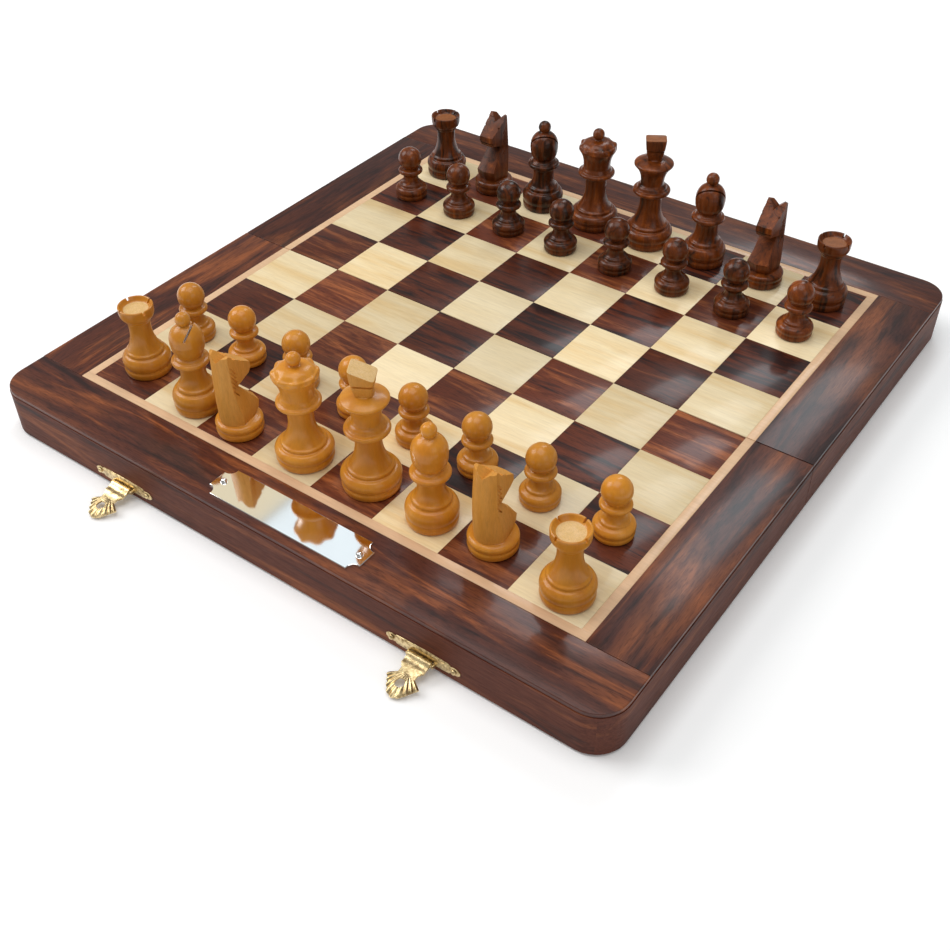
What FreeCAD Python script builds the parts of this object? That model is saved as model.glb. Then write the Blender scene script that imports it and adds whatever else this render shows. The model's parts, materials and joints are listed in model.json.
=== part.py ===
import FreeCAD, Part
import math
import os
import Sketcher
from FreeCAD import Placement, Rotation, Vector

# Folding wooden chess board with magnetic pieces, opened flat for play.
#
# Frame: millimetres, +Z up. The origin is the middle of the fold axis, which lies in the plane of
# the two halves' rims. +X runs along the fold, -Y is the side with the latches and the name plate.

# ------------------------------------------------------------------ driving dimensions
SIZES = {
    # playing surface
    "square": 31.0,
    "strip_width": 4.0,
    "border_width": 25.5,
    "top_layer": 2.0,
    "corner_radius": 13.0,
    "fold_gap": 0.2,
    "steel_thickness": 0.5,
    # box halves
    "rail_depth": 19.7,
    "rail_width": 9.0,
    "fold_rail_width": 6.0,
    "deck_thickness": 3.0,
    "border_inset": 0.3,
    # lined insert that holds the pieces when the box is closed
    "lining": 1.5,
    "rib_width": 2.5,
    "rib_recess": 0.5,
    # hinges
    "hinge_offset": 95.0,
    "hinge_length": 30.0,
    "hinge_leaf_start": 1.0,
    "hinge_leaf_width": 4.9,
    "hinge_sheet": 0.8,
    "web_lap": 0.2,
    "barrel_radius": 1.15,
    "barrel_notch": 1.6,
    "barrel_room": 1.0,
    "pin_radius": 0.6,
    "running_gap": 0.05,
    "knuckle_gap": 0.2,
    "screw_radius": 0.9,
    "screw_head": 1.7,
    "screw_length": 7.0,
    "screw_seat": 0.45,
    "screw_tip_room": 0.5,
    "screw_row": 4.05,
    "screw_spread": 9.4,
    # name plate
    "plate_length": 76.0,
    "plate_width": 16.0,
    "plate_sheet": 0.8,
    "plate_shift": 5.7,
    "plate_notch": 4.2,
    "plate_outward": 1.0,
    "plate_pin_spread": 34.3,
    "plate_pin_radius": 1.4,
    # latches
    "latch_offset": 77.5,
    "latch_plate_length": 33.0,
    "latch_plate_rise": 5.6,
    "latch_sheet": 1.0,
    "latch_base": 2.2,
    "pivot_rise": 3.6,
    "pivot_out": 1.9,
    "pivot_radius": 0.7,
    "pivot_stub": 1.6,
    "ear_width": 1.5,
    "ear_gap": 0.3,
    "ear_reach": 1.2,
    "ear_height": 3.0,
    "ear_drop": 1.4,
    "relief_height": 4.0,
    "nail_head": 1.1,
    "nail_rise": 0.6,
    "nail_inset": 2.6,
    "leaf_barrel": 1.3,
    "neck_width": 10.0,
    "leaf_neck": 8.4,
    "neck_length": 7.8,
    "leaf_width": 15.5,
    "fan_length": 10.4,
    "leaf_reach": 17.4,
    "leaf_hole_reach": 11.5,
    "leaf_hole_radius": 2.2,
    "leaf_droop": 9.0,
    "leaf_clip": 6.0,
    "stud_radius": 1.7,
    "stud_neck": 1.2,
    "stud_knob": 1.2,
    "stud_reach": 3.4,
    "stud_embed": 5.0,
    # chess pieces: base radius and full height of each kind
    "king_base": 11.9,
    "king_height": 57.0,
    "queen_base": 11.8,
    "queen_height": 50.9,
    "bishop_base": 10.3,
    "bishop_height": 46.4,
    "knight_base": 9.9,
    "knight_height": 41.0,
    "rook_base": 10.3,
    "rook_height": 32.8,
    "pawn_base": 8.2,
    "pawn_height": 27.0,
    "felt": 0.6,
    "magnet_radius": 4.0,
    "magnet_thickness": 3.0,
    # worked details of the pieces, as parts of the kind's base radius or height, and in degrees
    "felt_part": 0.94,
    "rook_notch_width": 0.13,
    "rook_notch_depth": 0.085,
    "bishop_slit_width": 0.09,
    "bishop_slit_start": 0.04,
    "bishop_slit_foot": 0.70,
    "bishop_slit_length": 0.30,
    "bishop_slit_lean": 22.0,
    "king_roof_slope": 24.0,
    "queen_scoop_radius": 0.30,
    "queen_scoop_out": 0.98,
    "queen_scoop_foot": 0.755,
    "queen_scoop_length": 0.12,
    "knight_head_width": 1.1,
    "knight_cheek_out": 0.42,
    "knight_cheek_foot": 0.60,
    "knight_cheek_height": 0.42,
    "knight_cheek_length": 1.6,
    "knight_cheek_turn": 14.0,
    "knight_ear_side": 0.5,
    "knight_ear_foot": 0.96,
    # how far a cutting shape runs past the face that it opens
    "cutter_over": 1.0,
}

# Two points or values closer than this are the same.
SAME_PLACE = 0.01
CROWN_SCOOPS = 8
CHANNELS = 5
# The middle of the board, counted in files and ranks.
MIDDLE_FILE = 3.5
MIDDLE_RANK = 4.5

doc = FreeCAD.newDocument("ChessSet")
sheet = doc.addObject("Spreadsheet::Sheet", "Sizes")
for row, (alias, value) in enumerate(SIZES.items(), start=1):
    sheet.set("A%d" % row, alias)
    sheet.set("B%d" % row, "%g" % value)
    sheet.setAlias("B%d" % row, alias)
doc.recompute()


def size(alias):
    """The value that a cell of the sheet holds."""
    return float(sheet.get(alias))


def expr(text):
    """An expression written with bare aliases, with each alias pointed at the sheet."""
    for alias in sorted(SIZES, key=len, reverse=True):
        text = replace_word(text, alias, "<<Sizes>>." + alias)
    return text


def replace_word(text, word, new):
    """Replace whole words only, so that one alias inside another stays as it is."""
    pieces = []
    at = 0
    while True:
        hit = text.find(word, at)
        if hit < 0:
            pieces.append(text[at:])
            return "".join(pieces)
        before = text[hit - 1] if hit else " "
        after = text[hit + len(word)] if hit + len(word) < len(text) else " "
        whole = not (before.isalnum() or before in "_.>" or after.isalnum() or after == "_")
        pieces.append(text[at:hit])
        pieces.append(new if whole else word)
        at = hit + len(word)


def bind(obj, **properties):
    """Bind properties to expressions; position keys px, py, pz stand for the placement's base."""
    names = {"px": "Placement.Base.x", "py": "Placement.Base.y", "pz": "Placement.Base.z"}
    for key, text in properties.items():
        obj.setExpression(names.get(key, key), expr(text))
    return obj


def box(name, length, width, height, px, py, pz):
    """A Part box with every size and its low corner bound to the sheet."""
    obj = doc.addObject("Part::Box", name)
    return bind(obj, Length=length, Width=width, Height=height, px=px, py=py, pz=pz)


def cylinder(name, radius, height, px, py, pz, direction=Vector(0, 0, 1)):
    """A Part cylinder that starts at a bound point and runs along a direction."""
    obj = doc.addObject("Part::Cylinder", name)
    obj.Placement = Placement(Vector(), Rotation(Vector(0, 0, 1), direction))
    return bind(obj, Radius=radius, Height=height, px=px, py=py, pz=pz)


def cut(name, base, tool):
    """One shape less another."""
    obj = doc.addObject("Part::Cut", name)
    obj.Base = base
    obj.Tool = tool
    return obj


def common(name, base, tool):
    """What two shapes share."""
    obj = doc.addObject("Part::Common", name)
    obj.Base = base
    obj.Tool = tool
    return obj


def fuse(name, shapes):
    """Several shapes as one solid."""
    obj = doc.addObject("Part::MultiFuse", name)
    obj.Shapes = shapes
    obj.Refine = True
    return obj


def group(name, shapes):
    """Several solids side by side in one object."""
    obj = doc.addObject("Part::Compound", name)
    obj.Links = shapes
    return obj


NODES = []


def node(obj, label):
    """Name an object as one of the parts that are written out."""
    obj.Label = label
    NODES.append(obj)
    return obj


# ------------------------------------------------------------------ board halves
HALF_LENGTH = "4*square + strip_width + border_width"
BOARD_LENGTH = "2*(4*square + strip_width + border_width)"
BOARD_TOP = "(rail_depth + top_layer)"
STUD_RISE = "leaf_hole_reach - pivot_rise"
CAVITY_LENGTH = "(2*(4*square + strip_width + border_width - rail_width))"
CAVITY_DEPTH = "(4*square + strip_width + border_width - rail_width - fold_rail_width - fold_gap)"


def at_side(side, low, width):
    """Where a box that spans low to low + width away from the fold starts, on the given side."""
    return low if side > 0 else "-(%s) - (%s)" % (low, width)


def vertical_edges_at(shape, x, y):
    """Numbers of the edges that run straight up at a corner."""
    numbers = []
    for number, edge in enumerate(shape.Edges, start=1):
        ends = [vertex.Point for vertex in edge.Vertexes]
        if all(abs(p.x - x) < SAME_PLACE and abs(p.y - y) < SAME_PLACE for p in ends):
            numbers.append(number)
    return numbers


def rounded(name, base, inset):
    """Round the two vertical edges of a board's outer corners."""
    doc.recompute()
    bounds = base.Shape.BoundBox
    outer_y = bounds.YMax if bounds.YMax > abs(bounds.YMin) else bounds.YMin
    edges = []
    for x in (bounds.XMin, bounds.XMax):
        edges += vertical_edges_at(base.Shape, x, outer_y)
    if len(edges) != 2:
        raise RuntimeError("%s: expected two corner edges" % name)
    obj = doc.addObject("Part::Fillet", name)
    obj.Base = base
    radius = size("corner_radius") - inset
    obj.Edges = [(number, radius, radius) for number in edges]
    return obj


def board_half(word, side):
    """Rails, deck, steel sheet, squares, inlay strip, border and lined insert of one half."""
    outer = HALF_LENGTH

    # Rails: the outer one and the two ends are shaped to the half's rounded outline, and the
    # ends and the fold rail butt against the others.
    half_depth = "(%s - fold_gap)" % outer
    outline = box(word + "_outline_block", BOARD_LENGTH, half_depth, "rail_depth",
                  "-(%s)" % outer, at_side(side, "fold_gap", half_depth), "0")
    outline = rounded(word + "_outline", outline, 0.0)
    bar = box(word + "_rail_outer_bar", BOARD_LENGTH, "rail_width", "rail_depth",
              "-(%s)" % outer, at_side(side, outer + " - rail_width", "rail_width"), "0")
    outer_rail = common(word + "_rail_outer", bar, outline)
    if side > 0:
        for stud in (-1, 1):
            bore = cylinder("%s_stud_bore_%d" % (word, stud > 0), "stud_neck + running_gap",
                            "stud_embed + cutter_over", "%d*latch_offset" % stud,
                            outer + " - stud_embed", STUD_RISE, Vector(0, 1, 0))
            outer_rail = cut("%s_rail_outer_bored_%d" % (word, stud > 0), outer_rail, bore)
    rails = [outer_rail]
    for end in (-1, 1):
        start = "-(%s)" % outer if end < 0 else outer + " - rail_width"
        width = "(%s - rail_width - fold_gap)" % outer
        bar = box("%s_rail_end_bar_%d" % (word, end > 0), "rail_width", width, "rail_depth",
                  start, at_side(side, "fold_gap", width), "0")
        rails.append(common("%s_rail_end_%d" % (word, end > 0), bar, outline))
    fold_rail = box(word + "_rail_fold_block", CAVITY_LENGTH, "fold_rail_width", "rail_depth",
                    "-%s/2" % CAVITY_LENGTH, at_side(side, "fold_gap", "fold_rail_width"), "0")
    for hinge in (-1, 1):
        notch_width = "(barrel_notch + cutter_over)"
        notch = box("%s_barrel_notch_%d" % (word, hinge > 0), "hinge_length + barrel_room",
                    notch_width, "barrel_notch",
                    "%d*hinge_offset - (hinge_length + barrel_room)/2" % hinge,
                    at_side(side, "-cutter_over", notch_width), "0")
        fold_rail = cut("%s_rail_fold_notched_%d" % (word, hinge > 0), fold_rail, notch)
        mortise = box("%s_hinge_mortise_%d" % (word, hinge > 0), "hinge_length",
                      "fold_rail_width", "hinge_sheet",
                      "%d*hinge_offset - hinge_length/2" % hinge,
                      at_side(side, "fold_gap + hinge_leaf_start", "fold_rail_width"), "0")
        fold_rail = cut("%s_rail_fold_mortised_%d" % (word, hinge > 0), fold_rail, mortise)
        for number in (-1, 1):
            bore = cylinder("%s_screw_bore_%d%d" % (word, hinge > 0, number > 0), "screw_radius",
                            "screw_length",
                            "%d*hinge_offset + %d*screw_spread" % (hinge, number),
                            "%d*screw_row" % side, "0")
            fold_rail = cut("%s_rail_fold_bored_%d%d" % (word, hinge > 0, number > 0),
                            fold_rail, bore)
    node(group(word + "_rails", rails + [fold_rail]), word + "_rails")

    # Deck: the panel between the rails that carries the steel sheet and the squares.
    deck = box(word + "_deck", CAVITY_LENGTH, CAVITY_DEPTH, "deck_thickness",
               "-%s/2" % CAVITY_LENGTH, at_side(side, "fold_gap + fold_rail_width", CAVITY_DEPTH),
               "rail_depth - deck_thickness")
    node(deck, word + "_deck")

    # Steel sheet under the squares: the magnets in the pieces hold on to it.
    field_depth = "(4*square - fold_gap)"
    steel = box(word + "_steel_sheet", "8*square", field_depth, "steel_thickness", "-4*square",
                at_side(side, "fold_gap", field_depth), "rail_depth")
    node(steel, word + "_steel_sheet")

    # Squares: file a is at -X and rank 1 at -Y, and a1 is dark.
    tones = {"light": [], "dark": []}
    for file_index in range(8):
        for step in range(4):
            rank_index = 4 + step if side > 0 else 3 - step
            tone = "light" if (file_index + rank_index) % 2 else "dark"
            low = "fold_gap" if step == 0 else "%d*square" % step
            depth = "(square - fold_gap)" if step == 0 else "square"
            tile = box("%s_square_%s%d" % (word, "abcdefgh"[file_index], rank_index + 1),
                       "square", depth, "top_layer - steel_thickness",
                       "%d*square" % (file_index - 4), at_side(side, low, depth),
                       "rail_depth + steel_thickness")
            tones[tone].append(tile)
    for tone, tiles in tones.items():
        label = "%s_%s_squares" % (word, tone)
        node(group(label, tiles), label)

    # Inlay strip round the squares: one long piece, and one at each end.
    strips = [box(word + "_strip_long", "8*square + 2*strip_width", "strip_width", "top_layer",
                  "-4*square - strip_width", at_side(side, "4*square", "strip_width"),
                  "rail_depth")]
    for end in (-1, 1):
        start = "-4*square - strip_width" if end < 0 else "4*square"
        strips.append(box("%s_strip_end_%d" % (word, end > 0), "strip_width", field_depth,
                          "top_layer", start, at_side(side, "fold_gap", field_depth),
                          "rail_depth"))
    node(group(word + "_inlay_strip", strips), word + "_inlay_strip")

    # Border boards: the long one has the rounded corners, the ends butt against it.
    long_width = "(border_width - border_inset)"
    long_board = box(word + "_border_long_block", BOARD_LENGTH + " - 2*border_inset", long_width,
                     "top_layer", "-(%s) + border_inset" % outer,
                     at_side(side, "4*square + strip_width", long_width), "rail_depth")
    boards = [rounded(word + "_border_long", long_board, size("border_inset"))]
    for end in (-1, 1):
        start = "-(%s) + border_inset" % outer if end < 0 else "4*square + strip_width"
        depth = "(4*square + strip_width - fold_gap)"
        boards.append(box("%s_border_end_%d" % (word, end > 0), long_width, depth, "top_layer",
                          start, at_side(side, "fold_gap", depth), "rail_depth"))
    node(group(word + "_border", boards), word + "_border")

    # Lined insert: a pad under the deck, with ribs that make five channels for the pieces.
    pad = box(word + "_insert_pad", CAVITY_LENGTH, CAVITY_DEPTH, "lining",
              "-%s/2" % CAVITY_LENGTH, at_side(side, "fold_gap + fold_rail_width", CAVITY_DEPTH),
              "rail_depth - deck_thickness - lining")
    solids = [pad]
    for rib in range(1, CHANNELS):
        low = "fold_gap + fold_rail_width + %d*%s/%d - rib_width/2" % (rib, CAVITY_DEPTH, CHANNELS)
        solids.append(box("%s_insert_rib_%d" % (word, rib), CAVITY_LENGTH, "rib_width",
                          "rail_depth - deck_thickness - lining - rib_recess",
                          "-%s/2" % CAVITY_LENGTH, at_side(side, low, "rib_width"),
                          "rib_recess"))
    node(fuse(word + "_insert", solids), word + "_insert")


board_half("near", -1)
board_half("far", 1)

# ------------------------------------------------------------------ hinges
ALONG_X = Vector(1, 0, 0)


def hinge_leaf(name, side, hinge, spans):
    """A leaf let into the fold rail's rim, with the knuckles that it shares of the barrel."""
    start_x = "%d*hinge_offset - hinge_length/2" % hinge
    leaf = box(name + "_sheet", "hinge_length", "hinge_leaf_width", "hinge_sheet", start_x,
               at_side(side, "fold_gap + hinge_leaf_start", "hinge_leaf_width"), "0")
    solids = [leaf]
    web_width = "(fold_gap + hinge_leaf_start + web_lap)"
    for index, (start, end) in enumerate(spans):
        low = "%s + %g*hinge_length + knuckle_gap/2" % (start_x, start)
        reach = "%g*hinge_length - knuckle_gap" % (end - start)
        solids.append(cylinder("%s_knuckle_%d" % (name, index), "barrel_radius", reach, low,
                               "0", "0", ALONG_X))
        solids.append(box("%s_web_%d" % (name, index), reach, web_width, "hinge_sheet",
                          low, at_side(side, "0", web_width), "0"))
    body = fuse(name + "_solid", solids)
    bore = cylinder(name + "_bore", "pin_radius + running_gap", "hinge_length + 2*cutter_over",
                    start_x + " - cutter_over", "0", "0", ALONG_X)
    body = cut(name + "_bored", body, bore)
    for number in (-1, 1):
        place = screw_place(side, hinge, number)
        hole = cylinder("%s_hole_%d" % (name, number > 0), "screw_radius + running_gap",
                        "hinge_sheet + 2*cutter_over", *place, "-cutter_over")
        body = cut("%s_drilled_%d" % (name, number > 0), body, hole)
        seat = cylinder("%s_seat_%d" % (name, number > 0), "screw_head + running_gap",
                        "screw_seat + cutter_over", *place, "-cutter_over")
        body = cut("%s_seated_%d" % (name, number > 0), body, seat)
    return body


def screw_place(side, hinge, number):
    """Where a hinge screw stands, as x and y."""
    return "%d*hinge_offset + %d*screw_spread" % (hinge, number), "%d*screw_row" % side


def hinge_screw(name, side, hinge, number):
    """A flat-headed wood screw through the leaf into the fold rail, its head let into the leaf."""
    place = screw_place(side, hinge, number)
    shank = cylinder(name + "_shank", "screw_radius - running_gap",
                     "screw_length - screw_tip_room", *place, "running_gap/2")
    head = cylinder(name + "_head", "screw_head", "screw_seat - running_gap", *place,
                    "running_gap/2")
    return fuse(name, [shank, head])


NEAR_KNUCKLES = ((0.0, 1 / 3), (2 / 3, 1.0))
FAR_KNUCKLES = ((1 / 3, 2 / 3),)
for word, side, spans in (("near", -1, NEAR_KNUCKLES), ("far", 1, FAR_KNUCKLES)):
    leaves = [hinge_leaf("hinge_%s_%d" % (word, hinge > 0), side, hinge, spans)
              for hinge in (-1, 1)]
    node(group("hinge_%s_leaves" % word, leaves), "hinge_%s_leaves" % word)
    screws = [hinge_screw("screw_%s_%d%d" % (word, hinge > 0, number > 0), side, hinge, number)
              for hinge in (-1, 1) for number in (-1, 1)]
    node(group("hinge_screws_%s" % word, screws), "hinge_screws_%s" % word)
pins = [cylinder("hinge_pin_%d" % (hinge > 0), "pin_radius", "hinge_length",
                 "%d*hinge_offset - hinge_length/2" % hinge, "0", "0", ALONG_X)
        for hinge in (-1, 1)]
node(group("hinge_pins", pins), "hinge_pins")


# ------------------------------------------------------------------ name plate
def name_plate():
    """A plain plate on the long border, its four corners scooped out in quarter circles."""
    middle = "-(4*square + strip_width + border_width/2 + plate_outward)"
    plate = box("name_plate_blank", "plate_length", "plate_width", "plate_sheet",
                "plate_shift - plate_length/2", middle + " - plate_width/2", BOARD_TOP)
    for along in (-1, 1):
        for across in (-1, 1):
            scoop = cylinder("plate_scoop_%d%d" % (along > 0, across > 0), "plate_notch",
                             "plate_sheet + 2*cutter_over", "plate_shift + %d*plate_length/2" % along,
                             "%s + %d*plate_width/2" % (middle, across),
                             BOARD_TOP + " - cutter_over")
            plate = cut("plate_scooped_%d%d" % (along > 0, across > 0), plate, scoop)
    node(plate, "name_plate")
    pins = []
    for along in (-1, 1):
        dome = doc.addObject("Part::Sphere", "plate_pin_%d" % (along > 0))
        dome.Angle1 = 0
        bind(dome, Radius="plate_pin_radius", px="plate_shift + %d*plate_pin_spread" % along, py=middle,
             pz=BOARD_TOP + " + plate_sheet")
        pins.append(dome)
    node(group("name_plate_pins", pins), "name_plate_pins")


name_plate()


# ------------------------------------------------------------------ latches
FRONT_FACE = "-(4*square + strip_width + border_width)"
PIVOT_Y = FRONT_FACE + " - pivot_out"
OUTWARD = Vector(0, -1, 0)


def latch_plate(name, side):
    """A plate nailed to the front rail, with two ears that hold the leaf's pivot."""
    middle = "%d*latch_offset" % side
    sheet_part = box(name + "_sheet", "latch_plate_length", "latch_sheet", "latch_plate_rise",
                     middle + " - latch_plate_length/2", FRONT_FACE + " - latch_sheet",
                     "latch_base")
    solids = [sheet_part]
    ears_out = PIVOT_Y + " - ear_reach"
    for ear in (-1, 1):
        start = " + neck_width/2 + ear_gap" if ear > 0 else " - neck_width/2 - ear_gap - ear_width"
        solids.append(box("%s_ear_%d" % (name, ear > 0), "ear_width", "pivot_out + ear_reach",
                          "ear_height", middle + start, ears_out, "pivot_rise - ear_drop"))
    body = fuse(name + "_solid", solids)
    past_ear = "(neck_width/2 + ear_gap + ear_width + cutter_over)"
    bore = cylinder(name + "_bore", "pivot_radius + running_gap", "2*" + past_ear,
                    middle + " - " + past_ear, PIVOT_Y, "pivot_rise", ALONG_X)
    body = cut(name + "_bored", body, bore)
    relief = box(name + "_relief", "neck_width + 2*ear_gap",
                 "pivot_out + ear_reach + cutter_over", "relief_height",
                 middle + " - neck_width/2 - ear_gap", ears_out, "pivot_rise - relief_height/2")
    return cut(name, body, relief)


def latch_nail(name, side, end):
    """A round-headed nail at one end of a latch plate."""
    place = "%d*latch_offset + %d*(latch_plate_length/2 - nail_inset)" % (side, end)
    return cylinder(name, "nail_head", "nail_rise", place, FRONT_FACE + " - latch_sheet",
                    "latch_base + latch_plate_rise/2", OUTWARD)


def latch_leaf(name, side):
    """A swinging leaf, drawn level: pivot, neck and a fan with a round hole and clipped corners."""
    middle = "%d*latch_offset" % side
    low = "pivot_rise - latch_sheet/2"
    solids = [
        cylinder(name + "_pivot", "pivot_radius", "neck_width + 2*pivot_stub",
                 middle + " - neck_width/2 - pivot_stub", PIVOT_Y, "pivot_rise", ALONG_X),
        cylinder(name + "_barrel", "leaf_barrel", "neck_width", middle + " - neck_width/2",
                 PIVOT_Y, "pivot_rise", ALONG_X),
        box(name + "_neck", "leaf_neck", "neck_length", "latch_sheet",
            middle + " - leaf_neck/2", PIVOT_Y + " - neck_length", low),
        box(name + "_fan", "leaf_width", "fan_length", "latch_sheet",
            middle + " - leaf_width/2", PIVOT_Y + " - leaf_reach", low),
    ]
    body = fuse(name + "_flat", solids)
    hole = cylinder(name + "_hole", "leaf_hole_radius", "latch_sheet + 2*cutter_over", middle,
                    PIVOT_Y + " - leaf_hole_reach", low + " - cutter_over")
    body = cut(name + "_pierced", body, hole)
    for corner in (-1, 1):
        clip = box("%s_clip_%d" % (name, corner > 0), "leaf_clip", "leaf_clip",
                   "latch_sheet + 2*cutter_over", "%s + %d*leaf_width/2" % (middle, corner),
                   PIVOT_Y + " - leaf_reach - leaf_clip*sqrt(0.5)", low + " - cutter_over")
        clip.Placement.Rotation = Rotation(Vector(0, 0, 1), 45)
        body = cut("%s_clipped_%d" % (name, corner > 0), body, clip)
    return body


def droop(name, flat, side):
    """Turn a latch leaf about its pivot from level down to where it hangs at rest."""
    turned = group(name, [flat])
    axis_point = Vector(0, -(4 * size("square") + size("strip_width") + size("border_width"))
                        - size("pivot_out"), size("pivot_rise"))
    turned.Placement = Placement(Vector(), Rotation(ALONG_X, size("leaf_droop")), axis_point)
    return turned


sides = (("left", -1), ("right", 1))
node(group("latch_plates", [latch_plate("latch_plate_" + word, side) for word, side in sides]),
     "latch_plates")
node(group("latch_nails", [latch_nail("nail_%s_%d" % (word, end > 0), side, end)
                           for word, side in sides for end in (-1, 1)]), "latch_nails")
for word, side in sides:
    flat = latch_leaf(word + "_leaf", side)
    node(droop(word + "_latch_leaf", flat, side), word + "_latch_leaf")
studs = []
for word, side in sides:
    place = ("%d*latch_offset" % side, STUD_RISE)
    shank = cylinder("stud_shank_" + word, "stud_neck", "stud_reach + stud_embed", place[0],
                     HALF_LENGTH + " - stud_embed", place[1], Vector(0, 1, 0))
    knob = cylinder("stud_knob_" + word, "stud_radius", "stud_knob", place[0],
                    HALF_LENGTH + " + stud_reach - stud_knob", place[1], Vector(0, 1, 0))
    studs.append(fuse("stud_" + word, [shank, knob]))
node(group("catch_studs", studs), "catch_studs")

# ------------------------------------------------------------------ chess pieces
# Each outline runs from the foot up to the axis. A corner is (radius, rise) or (radius, rise,
# swell), as parts of the kind's base radius, height and base radius. The stretch that leads to a
# corner with a swell is an arc that bows out by it, or is hollow where it is negative.
FOOT_AND_STEM = [(0.97, 0.012), (0.985, 0.060, 0.015), (0.95, 0.068), (0.85, 0.167, 0.085),
                 (0.715, 0.182), (0.695, 0.200), (0.440, 0.420, -0.08)]
OUTLINES = {
    "king": FOOT_AND_STEM + [(0.450, 0.455), (0.740, 0.490, -0.04), (0.725, 0.513, 0.01),
                             (0.580, 0.525), (0.550, 0.545), (0.470, 0.568),
                             (0.780, 0.740, -0.09), (0.755, 0.753), (0.300, 0.790),
                             (0.285, 0.808), (0.420, 1.0), (0.0, 1.0)],
    "queen": FOOT_AND_STEM + [(0.450, 0.505), (0.750, 0.545, -0.04), (0.735, 0.572, 0.01),
                              (0.610, 0.585), (0.585, 0.605), (0.495, 0.635),
                              (0.775, 0.830, -0.09), (0.745, 0.845), (0.190, 0.888),
                              (0.0, 0.888)],
    "bishop": [(0.97, 0.014), (0.985, 0.070, 0.015), (0.95, 0.080), (0.85, 0.225, 0.08),
               (0.675, 0.248), (0.640, 0.275), (0.525, 0.455, -0.08), (0.740, 0.502, -0.04),
               (0.728, 0.525, 0.01), (0.570, 0.540), (0.540, 0.556), (0.465, 0.570),
               (0.670, 0.722, 0.03), (0.215, 0.880, 0.12), (0.0, 0.880)],
    "rook": [(0.97, 0.020), (0.985, 0.105, 0.015), (0.95, 0.120), (0.85, 0.300, 0.08),
             (0.720, 0.320), (0.700, 0.350), (0.465, 0.765, -0.09), (0.525, 0.810),
             (0.710, 0.885, -0.02), (0.730, 0.980), (0.710, 1.0), (0.575, 1.0),
             (0.380, 0.918, -0.02), (0.0, 0.910)],
    "pawn": [(0.97, 0.022), (0.985, 0.090, 0.015), (0.95, 0.102), (0.855, 0.240, 0.08),
             (0.635, 0.270), (0.610, 0.297), (0.525, 0.480, -0.06), (0.745, 0.535, -0.04),
             (0.730, 0.563, 0.01), (0.390, 0.592), (0.0, 0.592)],
    "knight": [(0.97, 0.015), (0.985, 0.078, 0.015), (0.95, 0.086), (0.78, 0.178, 0.10),
               (0.70, 0.190), (0.0, 0.190)],
}
BALLS = {"queen": (0.245, 0.943), "bishop": (0.300, 0.930), "pawn": (0.732, 0.777)}


def origin_feature(body, role):
    """One of a body's own origin planes or axes."""
    for feature in body.Origin.OriginFeatures:
        if feature.Role == role:
            return feature
    raise RuntimeError("no origin feature " + role)


def closed_outline(sketch, corners):
    """Draw a closed outline, each corner held by two distances that are bound to the sheet.

    A corner is (x, y) or (x, y, swell). The side that leads to a corner with a swell is an arc
    that bows to the right of its direction by the swell, or to the left where it is negative.
    """
    points = [Vector(value_of(corner[0]), value_of(corner[1]), 0) for corner in corners]
    ends = []
    for index, start in enumerate(points):
        following = (index + 1) % len(points)
        end = points[following]
        swell = value_of(corners[following][2]) if len(corners[following]) > 2 else 0.0
        if swell:
            run = end - start
            outward = Vector(run.y, -run.x, 0).normalize()
            side = Part.Arc(start, (start + end) / 2 + outward * swell, end)
        else:
            side = Part.LineSegment(start, end)
        sketch.addGeometry(side, False)
        ends.append((2, 1) if swell < 0 else (1, 2))
    for index, (first, last) in enumerate(ends):
        following = (index + 1) % len(points)
        sketch.addConstraint(Sketcher.Constraint("Coincident", index, last, following,
                                                 ends[following][0]))
    for index, corner in enumerate(corners):
        first = ends[index][0]
        for kind, text, value, axis in (("DistanceX", corner[0], points[index].x, -2),
                                        ("DistanceY", corner[1], points[index].y, -1)):
            if abs(value) < SAME_PLACE:
                sketch.addConstraint(Sketcher.Constraint("PointOnObject", index, first, axis))
                continue
            number = sketch.addConstraint(Sketcher.Constraint(kind, -1, 1, index, first, value))
            sketch.setExpression("Constraints[%d]" % number, expr(text))


def value_of(text):
    """The value of a sum of products of aliases and numbers, such as -0.5*knight_base + felt."""
    total = 0.0
    for term in text.split("+"):
        product = 1.0
        for factor in term.split("*"):
            factor = factor.strip()
            sign = -1.0 if factor.startswith("-") else 1.0
            factor = factor.lstrip("-")
            product *= sign * (size(factor) if factor in SIZES else float(factor))
        total += product
    return total


def turned_blank(kind):
    """The turned wood of a kind of piece, bored underneath for its magnet."""
    body = doc.addObject("PartDesign::Body", kind + "_wood")
    sketch = body.newObject("Sketcher::SketchObject", kind + "_outline")
    sketch.AttachmentSupport = [(origin_feature(body, "XZ_Plane"), "")]
    sketch.MapMode = "FlatFace"
    corners = [("0", "felt + magnet_thickness"),
               ("magnet_radius", "felt + magnet_thickness"),
               ("magnet_radius", "felt")]
    outline = OUTLINES[kind]
    corners.append(("%g*%s_base" % (outline[0][0], kind), "felt"))
    for radius, rise, *swell in outline[1:]:
        bow = ["%g*%s_base" % (part, kind) for part in swell]
        corners.append(("%g*%s_base" % (radius, kind), "%g*%s_height" % (rise, kind), *bow))
    closed_outline(sketch, corners)
    turned = body.newObject("PartDesign::Revolution", kind + "_turned")
    turned.Profile = sketch
    turned.ReferenceAxis = (sketch, ["V_Axis"])
    turned.Angle = 360
    sketch.Visibility = False
    if kind in BALLS:
        radius, rise = BALLS[kind]
        ball = body.newObject("PartDesign::AdditiveSphere", kind + "_ball")
        bind(ball, Radius="%g*%s_base" % (radius, kind), pz="%g*%s_height" % (rise, kind))
    doc.recompute()
    return body


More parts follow.
